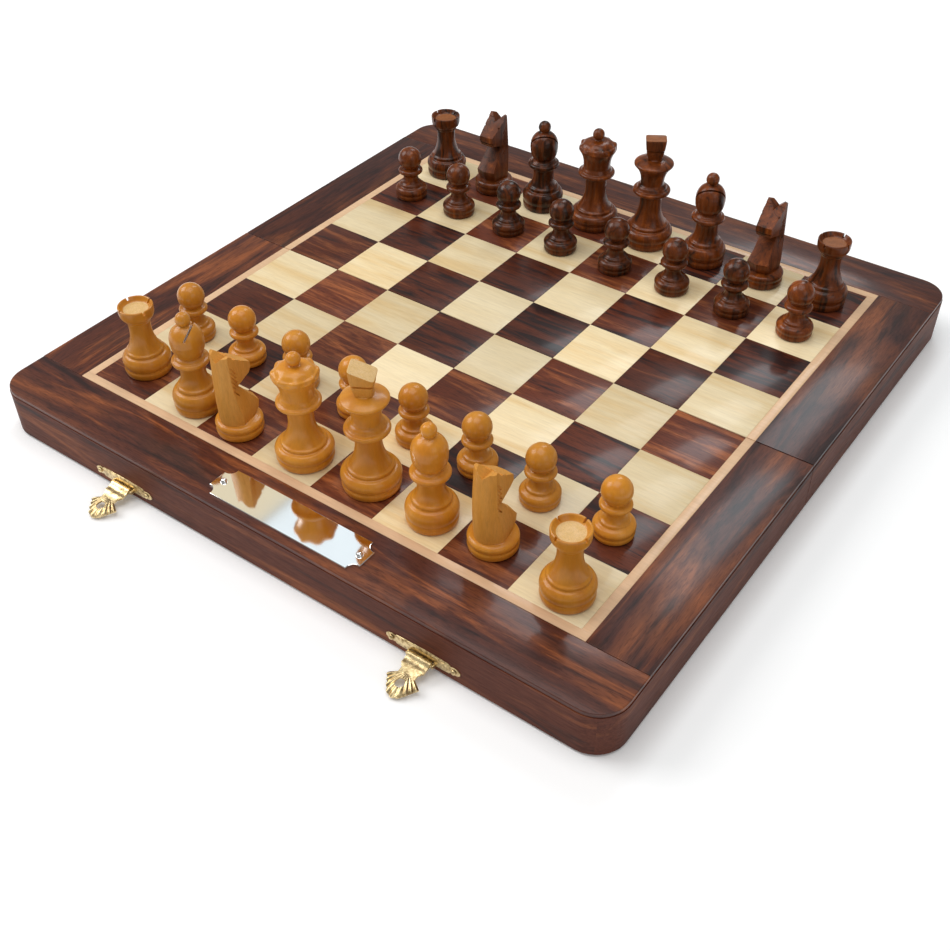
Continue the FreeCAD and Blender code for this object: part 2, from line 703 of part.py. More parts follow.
def subtract_box(body, name, sizes, corner, turn=None):
    """Cut a box out of a body; corner is its low corner, turned about the Z axis or another."""
    tool = body.newObject("PartDesign::SubtractiveBox", name)
    if turn:
        tool.Placement = Placement(Vector(), turn)
    bind(tool, Length=sizes[0], Width=sizes[1], Height=sizes[2],
         px=corner[0], py=corner[1], pz=corner[2])
    return tool


def finish_rook(body):
    """Two crossing saw cuts make the four narrow notches in the turret's rim."""
    length = "2*rook_base"
    width = "rook_notch_width*rook_base"
    depth = "rook_notch_depth*rook_height"
    low = "rook_height - " + depth
    subtract_box(body, "rook_cut_along", (length, width, depth),
                 ("-rook_base", "-%s/2" % width, low))
    subtract_box(body, "rook_cut_across", (width, length, depth),
                 ("-%s/2" % width, "-rook_base", low))


def finish_bishop(body):
    """One steep saw cut from the mitre's shoulder down to its middle."""
    subtract_box(body, "bishop_cut",
                 ("bishop_slit_width*bishop_base", "2*bishop_base",
                  "bishop_slit_length*bishop_height"),
                 ("bishop_slit_start*bishop_base", "-bishop_base",
                  "bishop_slit_foot*bishop_height"),
                 Rotation(Vector(0, 1, 0), size("bishop_slit_lean")))


def finish_king(body):
    """Two sloping cuts make the roof on top of the finial, which keeps its ridge."""
    slope = size("king_roof_slope")
    block = ("king_base", "2*king_base", "king_base")
    subtract_box(body, "king_roof_right", block, ("0", "-king_base", "king_height"),
                 Rotation(Vector(0, 1, 0), slope))
    subtract_box(body, "king_roof_left", block,
                 ("-cos(king_roof_slope * 1 deg)*king_base", "-king_base",
                  "king_height - sin(king_roof_slope * 1 deg)*king_base"),
                 Rotation(Vector(0, 1, 0), -slope))


def finish_queen(body):
    """Scoops round the rim leave the points of the crown."""
    scoop = body.newObject("PartDesign::SubtractiveCylinder", "queen_scoop")
    bind(scoop, Radius="queen_scoop_radius*queen_base", Height="queen_scoop_length*queen_height",
         px="queen_scoop_out*queen_base", py="0", pz="queen_scoop_foot*queen_height")
    doc.recompute()
    ring = body.newObject("PartDesign::PolarPattern", "queen_scoops")
    ring.Originals = [scoop]
    ring.Axis = (origin_feature(body, "Z_Axis"), [""])
    ring.Angle = 360
    ring.Occurrences = CROWN_SCOOPS
    body.Tip = ring


# The knight's head seen from its side, as (forward, rise) in parts of its base and height.
HEAD_SIDE = [(-0.70, 0.15), (-0.76, 0.30), (-0.72, 0.62), (-0.66, 0.96), (-0.42, 0.99),
             (0.0, 0.885), (0.71, 0.765), (0.61, 0.65), (0.33, 0.65), (0.05, 0.678),
             (-0.10, 0.61), (0.93, 0.28), (0.92, 0.15)]


def finish_knight(body):
    """A head sawn from a flat board, thinned towards the muzzle, with a V cut between the ears."""
    sketch = body.newObject("Sketcher::SketchObject", "knight_head_outline")
    sketch.AttachmentSupport = [(origin_feature(body, "YZ_Plane"), "")]
    sketch.MapMode = "FlatFace"
    closed_outline(sketch, [("%g*knight_base" % forward, "%g*knight_height" % rise)
                            for forward, rise in HEAD_SIDE])
    head = body.newObject("PartDesign::Pad", "knight_head")
    head.Profile = sketch
    head.Midplane = True
    head.setExpression("Length", expr("knight_head_width*knight_base"))
    sketch.Visibility = False
    doc.recompute()
    for side in (-1, 1):
        low = "knight_cheek_out*knight_base" if side > 0 else "-(knight_cheek_out + 1)*knight_base"
        subtract_box(body, "knight_cheek_%d" % (side > 0),
                     ("knight_base", "knight_cheek_length*knight_base",
                      "knight_cheek_height*knight_height"),
                     (low, "0", "knight_cheek_foot*knight_height"),
                     Rotation(Vector(0, 0, 1), side * size("knight_cheek_turn")))
    ear_side = "knight_ear_side*knight_base"
    subtract_box(body, "knight_ear_cut", (ear_side, "2*knight_base", ear_side),
                 ("-sqrt(0.5)*" + ear_side, "-knight_base", "knight_ear_foot*knight_height"),
                 Rotation(Vector(0, 1, 0), 45))


FINISH = {"rook": finish_rook, "bishop": finish_bishop, "king": finish_king,
          "queen": finish_queen, "knight": finish_knight}


def piece_parts(kind):
    """Wood, magnet and felt of one kind of piece, standing on the origin."""
    body = turned_blank(kind)
    if kind in FINISH:
        FINISH[kind](body)
        doc.recompute()
    magnet = cylinder(kind + "_magnet", "magnet_radius - running_gap",
                      "magnet_thickness - running_gap", "0", "0", "felt")
    felt = cylinder(kind + "_felt", "felt_part*%s_base" % kind, "felt", "0", "0", "0")
    return [body, magnet, felt]


KINDS = {kind: piece_parts(kind) for kind in OUTLINES}
BACK_RANKS = {"white": ("rook", "bishop", "knight", "queen", "king", "bishop", "knight", "rook"),
              "dark": ("rook", "knight", "bishop", "queen", "king", "bishop", "knight", "rook")}


# Pieces that were set down off the middle of their square, with how far along X and Y.
SET_DOWN = {
    "white_rook_a1": (0.4, 1.3),
    "white_bishop_b1": (6.0, -4.2),
    "white_knight_c1": (0.0, -5.5),
    "white_queen_d1": (2.3, -2.9),
    "white_king_e1": (3.0, 0.0),
    "white_bishop_f1": (3.0, -2.0),
    "white_knight_g1": (-1.5, 0.0),
    "white_rook_h1": (3.0, -5.0),
    "white_pawn_g2": (-1.0, -1.0),
}
# Pieces whose worked side is turned away from the other player.
TURNED_ROUND = ("white_bishop_f1",)


def stand_piece(colour, kind, file_index, rank):
    """One piece on its square; the dark ones face the pale ones."""
    label = "%s_%s_%s%d" % (colour, kind, "abcdefgh"[file_index], rank)
    piece = group(label, KINDS[kind])
    turn = 180 if colour == "dark" or label in TURNED_ROUND else 0
    piece.Placement = Placement(Vector(), Rotation(Vector(0, 0, 1), turn))
    off_x, off_y = SET_DOWN.get(label, (0.0, 0.0))
    bind(piece, px="%g*square + %g" % (file_index - MIDDLE_FILE, off_x),
         py="%g*square + %g" % (rank - MIDDLE_RANK, off_y), pz=BOARD_TOP)
    node(piece, label)


for colour, back_rank, pawn_rank in (("white", 1, 2), ("dark", 8, 7)):
    for file_index, kind in enumerate(BACK_RANKS[colour]):
        stand_piece(colour, kind, file_index, back_rank)
    for file_index in range(8):
        stand_piece(colour, "pawn", file_index, pawn_rank)

# ------------------------------------------------------------------ check and write
doc.recompute()
for obj in doc.Objects:
    if "Invalid" in obj.State or "Error" in obj.State:
        raise RuntimeError("%s failed: %s" % (obj.Label, obj.State))

os.makedirs("parts", exist_ok=True)
for obj in NODES:
    shape = obj.Shape
    if shape.isNull() or not shape.isValid():
        raise RuntimeError("%s has a bad shape" % obj.Label)
    shape.exportStep("parts/%s.step" % obj.Label)
print("%d nodes, %d solids" % (len(NODES), sum(len(obj.Shape.Solids) for obj in NODES)))
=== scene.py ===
import json
import math

import bmesh
import bpy
import numpy as np
from bpy.props import FloatProperty, FloatVectorProperty, IntProperty, PointerProperty
from bpy.types import Operator, Panel, PropertyGroup
from mathutils import Matrix, Vector


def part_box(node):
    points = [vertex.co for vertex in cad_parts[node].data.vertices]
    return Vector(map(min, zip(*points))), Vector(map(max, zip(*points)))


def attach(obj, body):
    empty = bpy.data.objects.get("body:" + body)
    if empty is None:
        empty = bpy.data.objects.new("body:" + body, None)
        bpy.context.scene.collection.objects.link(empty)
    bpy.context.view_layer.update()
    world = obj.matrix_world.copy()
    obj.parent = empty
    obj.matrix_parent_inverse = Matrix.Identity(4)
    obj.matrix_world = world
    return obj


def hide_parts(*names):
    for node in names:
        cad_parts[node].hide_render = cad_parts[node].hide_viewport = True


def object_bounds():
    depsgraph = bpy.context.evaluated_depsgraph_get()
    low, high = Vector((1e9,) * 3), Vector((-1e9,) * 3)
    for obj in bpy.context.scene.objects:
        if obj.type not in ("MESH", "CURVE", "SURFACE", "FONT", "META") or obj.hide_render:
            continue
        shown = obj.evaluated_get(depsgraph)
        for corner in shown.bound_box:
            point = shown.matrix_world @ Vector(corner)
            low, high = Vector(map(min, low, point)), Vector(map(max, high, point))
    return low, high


bl_info = {
    "name": "Folding Chess Set",
    "version": (1, 0, 0),
    "blender": (4, 5, 0),
    "location": "3D View > Sidebar > Chess Set",
    "description": "A folding rosewood and maple chess board with turned magnetic pieces",
    "category": "Add Mesh",
}

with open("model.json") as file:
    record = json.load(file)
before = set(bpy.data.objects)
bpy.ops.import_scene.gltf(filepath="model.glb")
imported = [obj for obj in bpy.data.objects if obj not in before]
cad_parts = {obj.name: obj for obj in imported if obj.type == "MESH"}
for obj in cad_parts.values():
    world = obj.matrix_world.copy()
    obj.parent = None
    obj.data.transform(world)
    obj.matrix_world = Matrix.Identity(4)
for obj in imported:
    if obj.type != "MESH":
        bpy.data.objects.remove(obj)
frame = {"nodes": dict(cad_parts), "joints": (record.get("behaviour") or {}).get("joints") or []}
CAD_BOX = [list(corner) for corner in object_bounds()]

MM = 0.001
MERGE = 1e-6  # points closer than this are one point
SPECK = 1e-7  # edges shorter than this are closed up
NO_SHIFT = (0.0, 0.0, 0.0)  # the wood offset of a part that needs none
CRISP = 30.0  # edges sharper than this many degrees stay crisp, unless a part says otherwise


# ------------------------------------------------------------------ sizes and colours
class ChessBoardSizes(PropertyGroup):
    """Sizes and colours of the board."""

    square: FloatProperty(name="Square", description="Side of one square of the playing surface",
                          default=0.031, subtype="DISTANCE", unit="LENGTH")
    edge: FloatProperty(name="Eased edge", description="Radius of the sanded edges of the boards",
                        default=0.0004, subtype="DISTANCE", unit="LENGTH")
    joint: FloatProperty(name="Joint", description="Radius of the edges where the squares meet",
                         default=0.00012, subtype="DISTANCE", unit="LENGTH")
    corner: FloatProperty(name="Corner", description="Radius of the board's rounded corners",
                          default=0.013, subtype="DISTANCE", unit="LENGTH")
    plate_notch: FloatProperty(name="Plate scoop", description="Radius of the name plate's scoops",
                               default=0.0031, subtype="DISTANCE", unit="LENGTH")
    rosewood_dark: FloatVectorProperty(name="Rosewood, dark streak", subtype="COLOR", size=4,
                                       description="The darkest streaks of the board's rosewood",
                                       default=(0.024, 0.0085, 0.0075, 1.0))
    rosewood_mid: FloatVectorProperty(name="Rosewood, ground", subtype="COLOR", size=4,
                                      description="The ground colour of the board's rosewood",
                                      default=(0.092, 0.0245, 0.0125, 1.0))
    rosewood_light: FloatVectorProperty(name="Rosewood, light streak", subtype="COLOR", size=4,
                                        description="The orange streaks of the board's rosewood",
                                        default=(0.30, 0.090, 0.028, 1.0))
    maple: FloatVectorProperty(name="Maple", subtype="COLOR", size=4,
                               description="The ground colour of the light squares",
                               default=(0.80, 0.645, 0.392, 1.0))


class ChessPieceSizes(PropertyGroup):
    """Sizes and colours of the chess pieces."""

    turns: IntProperty(name="Steps round", description="Faces round a turned piece",
                       default=96, min=24, max=256)
    step: FloatProperty(name="Step along", description="Length of a face along a turned outline",
                        default=0.00035, subtype="DISTANCE", unit="LENGTH")
    boxwood: FloatVectorProperty(name="Boxwood", subtype="COLOR", size=4,
                                 description="The colour of the pale pieces",
                                 default=(0.61, 0.240, 0.020, 1.0))
    sheesham: FloatVectorProperty(name="Dark wood", subtype="COLOR", size=4,
                                  description="The colour of the dark pieces",
                                  default=(0.138, 0.031, 0.0045, 1.0))


class ChessStageSizes(PropertyGroup):
    """The floor, lights and camera."""

    floor_size: FloatProperty(name="Floor", description="Side of the floor",
                              default=8.0, subtype="DISTANCE", unit="LENGTH")
    lens: FloatProperty(name="Lens", description="Focal length of the camera in millimetres",
                        default=45.49, min=10.0, max=200.0, unit="CAMERA")
    camera_place: FloatVectorProperty(name="Camera", description="Where the camera stands",
                                      default=(0.2551, -0.3615, 0.3354), subtype="XYZ",
                                      unit="LENGTH")
    camera_turn: FloatVectorProperty(name="Camera turn", description="Which way the camera faces",
                                     default=tuple(math.radians(a) for a in (47.97, 0.55, 35.98)),
                                     subtype="EULER", unit="ROTATION")


# ------------------------------------------------------------------ surfaces
def span(name):
    """Lowest and highest corner of a frame node, as two arrays."""
    low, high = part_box(name)
    return np.array(low), np.array(high)


def grid_faces(rows, cols, closed=False):
    """Quads of a grid of rows x cols points; a closed grid joins its last column to its first."""
    row, col = np.meshgrid(np.arange(rows - 1), np.arange(cols if closed else cols - 1),
                           indexing="ij")
    here, over = row * cols, (row + 1) * cols
    after = (col + 1) % cols
    return np.stack([here + col, here + after, over + after, over + col], axis=-1).reshape(-1, 4)


class Shape:
    """Points and faces that grow as surfaces are added, with one wood offset per point."""

    def __init__(self):
        self.points = []
        self.faces = []
        self.figures = []
        self.count = 0

    def add(self, points, quads, caps=(), figure=NO_SHIFT):
        """Add a surface: its points, its quads, its many-sided caps, and its wood offset."""
        points = np.asarray(points, dtype=float).reshape(-1, 3)
        self.points.append(points)
        self.figures.append(np.tile(np.asarray(figure, dtype=float), (len(points), 1)))
        self.faces += (np.asarray(quads) + self.count).tolist()
        self.faces += [(np.asarray(cap) + self.count).tolist() for cap in caps]
        self.count += len(points)

    def build(self, name, material, smooth=CRISP):
        """Make the object: doubles merged, faces pointing out, and sharp edges kept."""
        mesh = bpy.data.meshes.new(name)
        mesh.from_pydata(np.concatenate(self.points), [], self.faces)
        figure = mesh.attributes.new("figure", "FLOAT_VECTOR", "POINT")
        figure.data.foreach_set("vector", np.concatenate(self.figures).ravel())
        work = bmesh.new()
        work.from_mesh(mesh)
        bmesh.ops.remove_doubles(work, verts=work.verts, dist=MERGE)
        bmesh.ops.dissolve_degenerate(work, edges=work.edges, dist=SPECK)
        bmesh.ops.recalc_face_normals(work, faces=work.faces)
        work.to_mesh(mesh)
        work.free()
        shade(mesh, smooth)
        mesh.materials.append(material)
        return linked(name, mesh)


def linked(name, data):
    """A new object in the scene that holds a mesh, a light or a camera."""
    obj = bpy.data.objects.new(name, data)
    bpy.context.scene.collection.objects.link(obj)
    return obj


def shade(mesh, smooth):
    """Smooth shading, with edges sharper than an angle in degrees kept crisp."""
    mesh.shade_smooth()
    mesh.set_sharp_from_angle(angle=math.radians(smooth))


def arc(centre, radius, start, end, steps=12):
    """Points round a circle from one angle to another, in degrees."""
    t = np.radians(np.linspace(start, end, steps))
    return np.stack([centre[0] + radius * np.cos(t), centre[1] + radius * np.sin(t)], axis=-1)


def rectangle(x0, y0, x1, y1):
    """The four corners of a rectangle."""
    return np.array([(x0, y0), (x1, y0), (x1, y1), (x0, y1)])


LEAST = 0.2


def inset(outline, distance):
    """A closed outline moved inwards: each corner moves along the mitre of its two sides.

    The mitre is the sum m of the sides' inward normals over m . n, which is never taken as less
    than LEAST, so that a very sharp corner doesn't run away.
    """
    before = outline - np.roll(outline, 1, axis=0)
    after = np.roll(outline, -1, axis=0) - outline
    before /= np.linalg.norm(before, axis=1)[:, None]
    after /= np.linalg.norm(after, axis=1)[:, None]
    n0 = np.stack([-before[:, 1], before[:, 0]], axis=-1)
    n1 = np.stack([-after[:, 1], after[:, 0]], axis=-1)
    mitre = n0 + n1
    mitre /= np.maximum((mitre * n0).sum(axis=1), LEAST)[:, None]
    x, y = outline.T
    area = np.sum(x * np.roll(y, -1) - y * np.roll(x, -1))
    return outline + mitre * distance * (1.0 if area > 0 else -1.0)


def slab(shape, outline, low, high, edge_low, edge_high, figure=NO_SHIFT, steps=4):
    """A flat board: its outline carried up from low to high, with quarter-round edges.

    At angle t of an edge of radius e the outline is drawn in by e (1 - sin t) and stands
    e (1 - cos t) from the face.
    """
    t = np.linspace(0.0, math.pi / 2, steps)
    rings = [(edge_low * (1 - math.sin(a)), low + edge_low * (1 - math.cos(a))) for a in t]
    rings += [(edge_high * (1 - math.sin(a)), high - edge_high * (1 - math.cos(a)))
              for a in t[::-1]]
    count = len(outline)
    points = [np.column_stack([inset(outline, d), np.full(count, z)]) for d, z in rings]
    under = np.arange(count)[::-1]
    over = np.arange((len(rings) - 1) * count, len(rings) * count)
    shape.add(np.concatenate(points), grid_faces(len(rings), count, closed=True),
              (under, over), figure)


def two_sided(shape, top, bottom):
    """A closed sheet between two grids of the same size, joined round their edges."""
    rows, cols = top.shape[:2]
    count = rows * cols
    index = np.arange(count).reshape(rows, cols)
    rim = np.concatenate([index[0], index[1:, -1], index[-1, -2::-1], index[-2:0:-1, 0]])
    after = np.roll(rim, -1)
    sides = np.stack([rim, after, after + count, rim + count], axis=-1)
    quads = grid_faces(rows, cols)
    shape.add(np.concatenate([top.reshape(-1, 3), bottom.reshape(-1, 3)]),
              np.concatenate([quads, quads[:, ::-1] + count, sides]))


def turned_outline(stations, step):
    """Radius and rise along a turned outline, evenly spaced and a little softened.

    Between two stations the line is straight, or bows out by 4 t (1 - t) times its swell, as a
    gouge leaves it. A running mean over a few steps rounds the corners as sanding does.
    """
    runs = []
    for (r0, z0, _), (r1, z1, swell) in zip(stations, stations[1:]):
        length = math.hypot(r1 - r0, z1 - z0)
        t = np.linspace(0.0, 1.0, max(int(length / step * 2), 2), endpoint=False)
        out_r, out_z = (z1 - z0) / length, -(r1 - r0) / length
        bow = 4 * t * (1 - t) * swell
        runs.append(np.column_stack([r0 + (r1 - r0) * t + out_r * bow,
                                     z0 + (z1 - z0) * t + out_z * bow]))
    line = np.concatenate(runs + [np.array([stations[-1][:2]])])
    along = np.concatenate([[0.0], np.cumsum(np.linalg.norm(np.diff(line, axis=0), axis=1))])
    count = max(int(along[-1] / step), 8)
    even = np.linspace(0.0, along[-1], count)
    line = np.column_stack([np.interp(even, along, line[:, 0]), np.interp(even, along, line[:, 1])])
    padded = np.pad(line, ((1, 1), (0, 0)), mode="edge")
    soft = (padded[:-2] + 2 * padded[1:-1] + padded[2:]) / 4
    soft[0], soft[-1] = line[0], line[-1]
    return np.maximum(soft, [0.0, -1.0])


def lathe(outline, angles):
    """Points (r cos a, r sin a, z) of an outline turned about the axis, a row for each (r, z)."""
    r, z = outline[:, 0][:, None], outline[:, 1][:, None]
    return np.stack([r * np.cos(angles), r * np.sin(angles), z + 0 * angles], axis=-1)


def even_angles(count):
    """Evenly spaced angles round the axis."""
    return np.arange(count) * 2 * math.pi / count


def cutter(kind, size, place):
    """A loose box or rod used as a tool, under a placement matrix."""
    mesh = bpy.data.meshes.new("tool")
    work = bmesh.new()
    if kind == "rod":
        bmesh.ops.create_cone(work, cap_ends=True, segments=48, radius1=0.5, radius2=0.5,
                              depth=1.0)
    else:
        bmesh.ops.create_cube(work, size=1.0)
    work.to_mesh(mesh)
    work.free()
    mesh.transform(place @ Matrix.Diagonal((*size, 1.0)))
    return linked("tool", mesh)


def place_at(centre, *turns):
    """A placement: turns of (degrees, axis), the last first, and then a move to the centre."""
    matrix = Matrix.Translation(centre)
    for degrees, axis in turns:
        matrix = matrix @ Matrix.Rotation(math.radians(degrees), 4, axis)
    return matrix


def saw(piece, cutters, smooth, figure=NO_SHIFT):
    """Cut loose tools out of a piece for good, and throw the tools away."""
    for tool in cutters:
        cut = piece.modifiers.new("saw", "BOOLEAN")
        cut.object = tool
        cut.operation = "DIFFERENCE"
        cut.solver = "EXACT"
    bpy.context.view_layer.update()
    graph = bpy.context.evaluated_depsgraph_get()
    mesh = bpy.data.meshes.new_from_object(piece.evaluated_get(graph))
    piece.modifiers.clear()
    material = piece.data.materials[0]
    piece.data = mesh
    mesh.materials.clear()
    mesh.materials.append(material)
    mesh.polygons.foreach_set("material_index", np.zeros(len(mesh.polygons), dtype=np.int32))
    if "figure" in mesh.attributes:
        mesh.attributes.remove(mesh.attributes["figure"])
    offset = mesh.attributes.new("figure", "FLOAT_VECTOR", "POINT")
    offset.data.foreach_set("vector", np.tile(figure, len(mesh.vertices)))
    shade(mesh, smooth)
    for tool in cutters:
        bpy.data.objects.remove(tool)


# ------------------------------------------------------------------ materials
def node(tree, kind, **inputs):
    """Add a node and set its named inputs; an input given as a socket is linked."""
    made = tree.nodes.new(kind)
    for key, value in inputs.items():
        socket = made.inputs[key.replace("_", " ")]
        if isinstance(value, bpy.types.NodeSocket):
            tree.links.new(value, socket)
        else:
            socket.default_value = value
    return made


def ramp(tree, value, stops):
    """A colour ramp with the given (place, colour) stops."""
    made = tree.nodes.new("ShaderNodeValToRGB")
    tree.links.new(value, made.inputs["Fac"])
    elements = made.color_ramp.elements
    while len(elements) < len(stops):
        elements.new(0.5)
    for element, (place, colour) in zip(elements, stops):
        element.position = place
        element.color = colour
    return made.outputs["Color"]


def mixed(tree, factor, a, b, blend="MIX"):
    """Mix two colours."""
    made = tree.nodes.new("ShaderNodeMix")
    made.data_type = "RGBA"
    made.blend_type = blend
    for socket, value in ((made.inputs[0], factor), (made.inputs[6], a), (made.inputs[7], b)):
        if isinstance(value, bpy.types.NodeSocket):
            tree.links.new(value, socket)
        else:
            socket.default_value = value
    return made.outputs[2]


def new_material(name):
    """An empty material with its output and shader."""
    material = bpy.data.materials.new(name)
    material.use_nodes = True
    tree = material.node_tree
    tree.nodes.clear()
    shader = tree.nodes.new("ShaderNodeBsdfPrincipled")
    output = tree.nodes.new("ShaderNodeOutputMaterial")
    tree.links.new(shader.outputs[0], output.inputs[0])
    return material, tree, shader


def grain_coordinates(tree, along, stretch):
    """Object coordinates shifted by each board's own offset and squeezed along the grain."""
    place = tree.nodes.new("ShaderNodeTexCoord")
    figure = tree.nodes.new("ShaderNodeAttribute")
    figure.attribute_name = "figure"
    shift = tree.nodes.new("ShaderNodeVectorMath")
    shift.operation = "ADD"
    tree.links.new(place.outputs["Object"], shift.inputs[0])
    tree.links.new(figure.outputs["Vector"], shift.inputs[1])
    squeeze = tree.nodes.new("ShaderNodeMapping")
    squeeze.inputs["Scale"].default_value = [1.0 / stretch if i == along else 1.0 for i in range(3)]
    tree.links.new(shift.outputs[0], squeeze.inputs["Vector"])
    return squeeze.outputs[0], figure


def carried(tree, value, low, high, start=0.0):
    """A number carried from the range start to 1 onto the range low to high."""
    return node(tree, "ShaderNodeMapRange", Value=value, From_Min=start, To_Min=low,
                To_Max=high).outputs[0]


def swing(tree, value, low, high):
    """A number that swings between low and high with the sine of a value."""
    wave = tree.nodes.new("ShaderNodeMath")
    wave.operation = "SINE"
    tree.links.new(value, wave.inputs[0])
    return carried(tree, wave.outputs[0], low, high, -1.0)


def relief(tree, shader, height, strength, distance=0.2 * MM):
    """Let a texture raise and sink the surface."""
    bump = node(tree, "ShaderNodeBump", Strength=strength, Distance=distance, Height=height)
    tree.links.new(bump.outputs[0], shader.inputs["Normal"])


def finish(shader, **values):
    """Set what is the same all over a surface on the shader's own sockets."""
    for key, value in values.items():
        shader.inputs[key.replace("_", " ")].default_value = value


# Ramp stops inside every wood, as (place, colour): the threads between dark and pale fibres, the
# pores, the soft areas where a patch shows, and the streaks that break a patch up.
THREADS = [(0.32, (0.60, 0.56, 0.54, 1)), (0.62, (1.14, 1.12, 1.08, 1))]
PORES = [(0.36, (0.30, 0.25, 0.22, 1)), (0.45, (1, 1, 1, 1))]
AREAS = [(0.48, (0, 0, 0, 1)), (0.68, (0.8, 0.8, 0.8, 1))]
STREAKS = [(0.38, (0.25, 0.25, 0.25, 1)), (0.58, (1, 1, 1, 1))]
BAND_SHIFT = 0.4  # how much of a wood's spread also moves its bands along the ramp


def wood(name, colours, along, band, fibre, roughness, coat, warp=0.5, stretch=10.0,
         pore_depth=0.10, flecks=0.5, fibres=0.6, spread=0.15, patch=None):
    """Lacquered wood: bands and fibres along the grain, open pores and a clear coat.

    A warped noise squeezed along the grain gives the bands through a colour ramp, shifted a
    little from board to board. A much finer noise gives the fibres, and a thresholded one the
    pores, which are dark and slightly sunk. A patch is a colour that shows in broad, soft areas.
    """
    material, tree, shader = new_material(name)
    place, figure = grain_coordinates(tree, along, stretch)
    offsets = tree.nodes.new("ShaderNodeSeparateXYZ")
    tree.links.new(figure.outputs["Vector"], offsets.inputs[0])
    bands = node(tree, "ShaderNodeTexNoise", Vector=place, Scale=band, Detail=5.0,
                 Roughness=0.62, Distortion=warp)
    shifted = tree.nodes.new("ShaderNodeMath")
    tree.links.new(bands.outputs[0], shifted.inputs[0])
    shift = BAND_SHIFT * spread
    tree.links.new(swing(tree, offsets.outputs[1], -shift, shift), shifted.inputs[1])
    colour = ramp(tree, shifted.outputs[0], colours)
    if patch:
        broad, _ = grain_coordinates(tree, along, 3.0)
        cloud = node(tree, "ShaderNodeTexNoise", Vector=broad, Scale=band * 0.22, Detail=3.0,
                     Roughness=0.6, Distortion=0.8)
        streaked = mixed(tree, 1.0, ramp(tree, cloud.outputs[0], AREAS),
                         ramp(tree, bands.outputs[0], STREAKS), "MULTIPLY")
        colour = mixed(tree, streaked, colour, patch)
    fine = node(tree, "ShaderNodeTexNoise", Vector=place, Scale=fibre, Detail=3.0,
                Roughness=0.65)
    colour = mixed(tree, fibres, colour, ramp(tree, fine.outputs[0], THREADS), "MULTIPLY")
    hole = node(tree, "ShaderNodeTexNoise", Vector=place, Scale=fibre * 1.8, Detail=2.0,
                Roughness=0.5)
    colour = mixed(tree, flecks, colour, ramp(tree, hole.outputs[0], PORES), "MULTIPLY")
    scaled = tree.nodes.new("ShaderNodeVectorMath")
    scaled.operation = "SCALE"
    tree.links.new(colour, scaled.inputs[0])
    tree.links.new(swing(tree, offsets.outputs[0], 1 - spread, 1 + spread), scaled.inputs["Scale"])
    tree.links.new(scaled.outputs[0], shader.inputs["Base Color"])
    tree.links.new(carried(tree, fine.outputs[0], roughness * 1.25, roughness * 0.8),
                   shader.inputs["Roughness"])
    relief(tree, shader, hole.outputs[0], pore_depth)
    finish(shader, Specular_IOR_Level=0.22, Coat_Weight=coat, Coat_Roughness=0.14)
    return material


def metal(name, tint, dull, roughness, scale, bump_depth, patina):
    """Metal with cloudy tarnish and fine handling marks in its gloss."""
    material, tree, shader = new_material(name)
    place = tree.nodes.new("ShaderNodeTexCoord").outputs["Object"]
    cloud = node(tree, "ShaderNodeTexNoise", Vector=place, Scale=scale, Detail=5.0, Roughness=0.6)
    tone = ramp(tree, cloud.outputs[0], [(0.36, dull), (0.58, tint)])
    tree.links.new(mixed(tree, patina, tint, tone), shader.inputs["Base Color"])
    tree.links.new(carried(tree, cloud.outputs[0], roughness * 1.6, roughness * 0.6),
                   shader.inputs["Roughness"])
    relief(tree, shader, cloud.outputs[0], bump_depth)
    finish(shader, Metallic=1.0)
    return material


def cloth(name, tint, deep, scale):
    """Short pile: a fine speckle in colour and height, with a soft sheen."""
    material, tree, shader = new_material(name)
    place = tree.nodes.new("ShaderNodeTexCoord").outputs["Object"]
    pile = node(tree, "ShaderNodeTexNoise", Vector=place, Scale=scale, Detail=3.0)
    tree.links.new(ramp(tree, pile.outputs[0], [(0.35, deep), (0.65, tint)]),
                   shader.inputs["Base Color"])
    relief(tree, shader, pile.outputs[0], 0.6, 0.4 * MM)
    finish(shader, Roughness=0.95, Sheen_Weight=0.5)
    return material


MATERIALS = {}


def shades(colour, *steps):
    """Ramp stops made from one colour: each step is a place and a factor for red, green, blue."""
    return [(place, tuple(min(c * f, 1.0) for c, f in zip(colour, (*factors, 1.0))))
            for place, *factors in steps]


# How far fine-grained woods, sawn faces and end grain depart from the usual wood.
SMOOTH_GRAIN = {"flecks": 0.06, "fibres": 0.16, "pore_depth": 0.03}
END_GRAIN = {"stretch": 1.0, "fibres": 0.25, "pore_depth": 0.08, "spread": 0.05}
X_WAY, Y_WAY, UPRIGHT = 0, 1, 2  # which way the grain runs


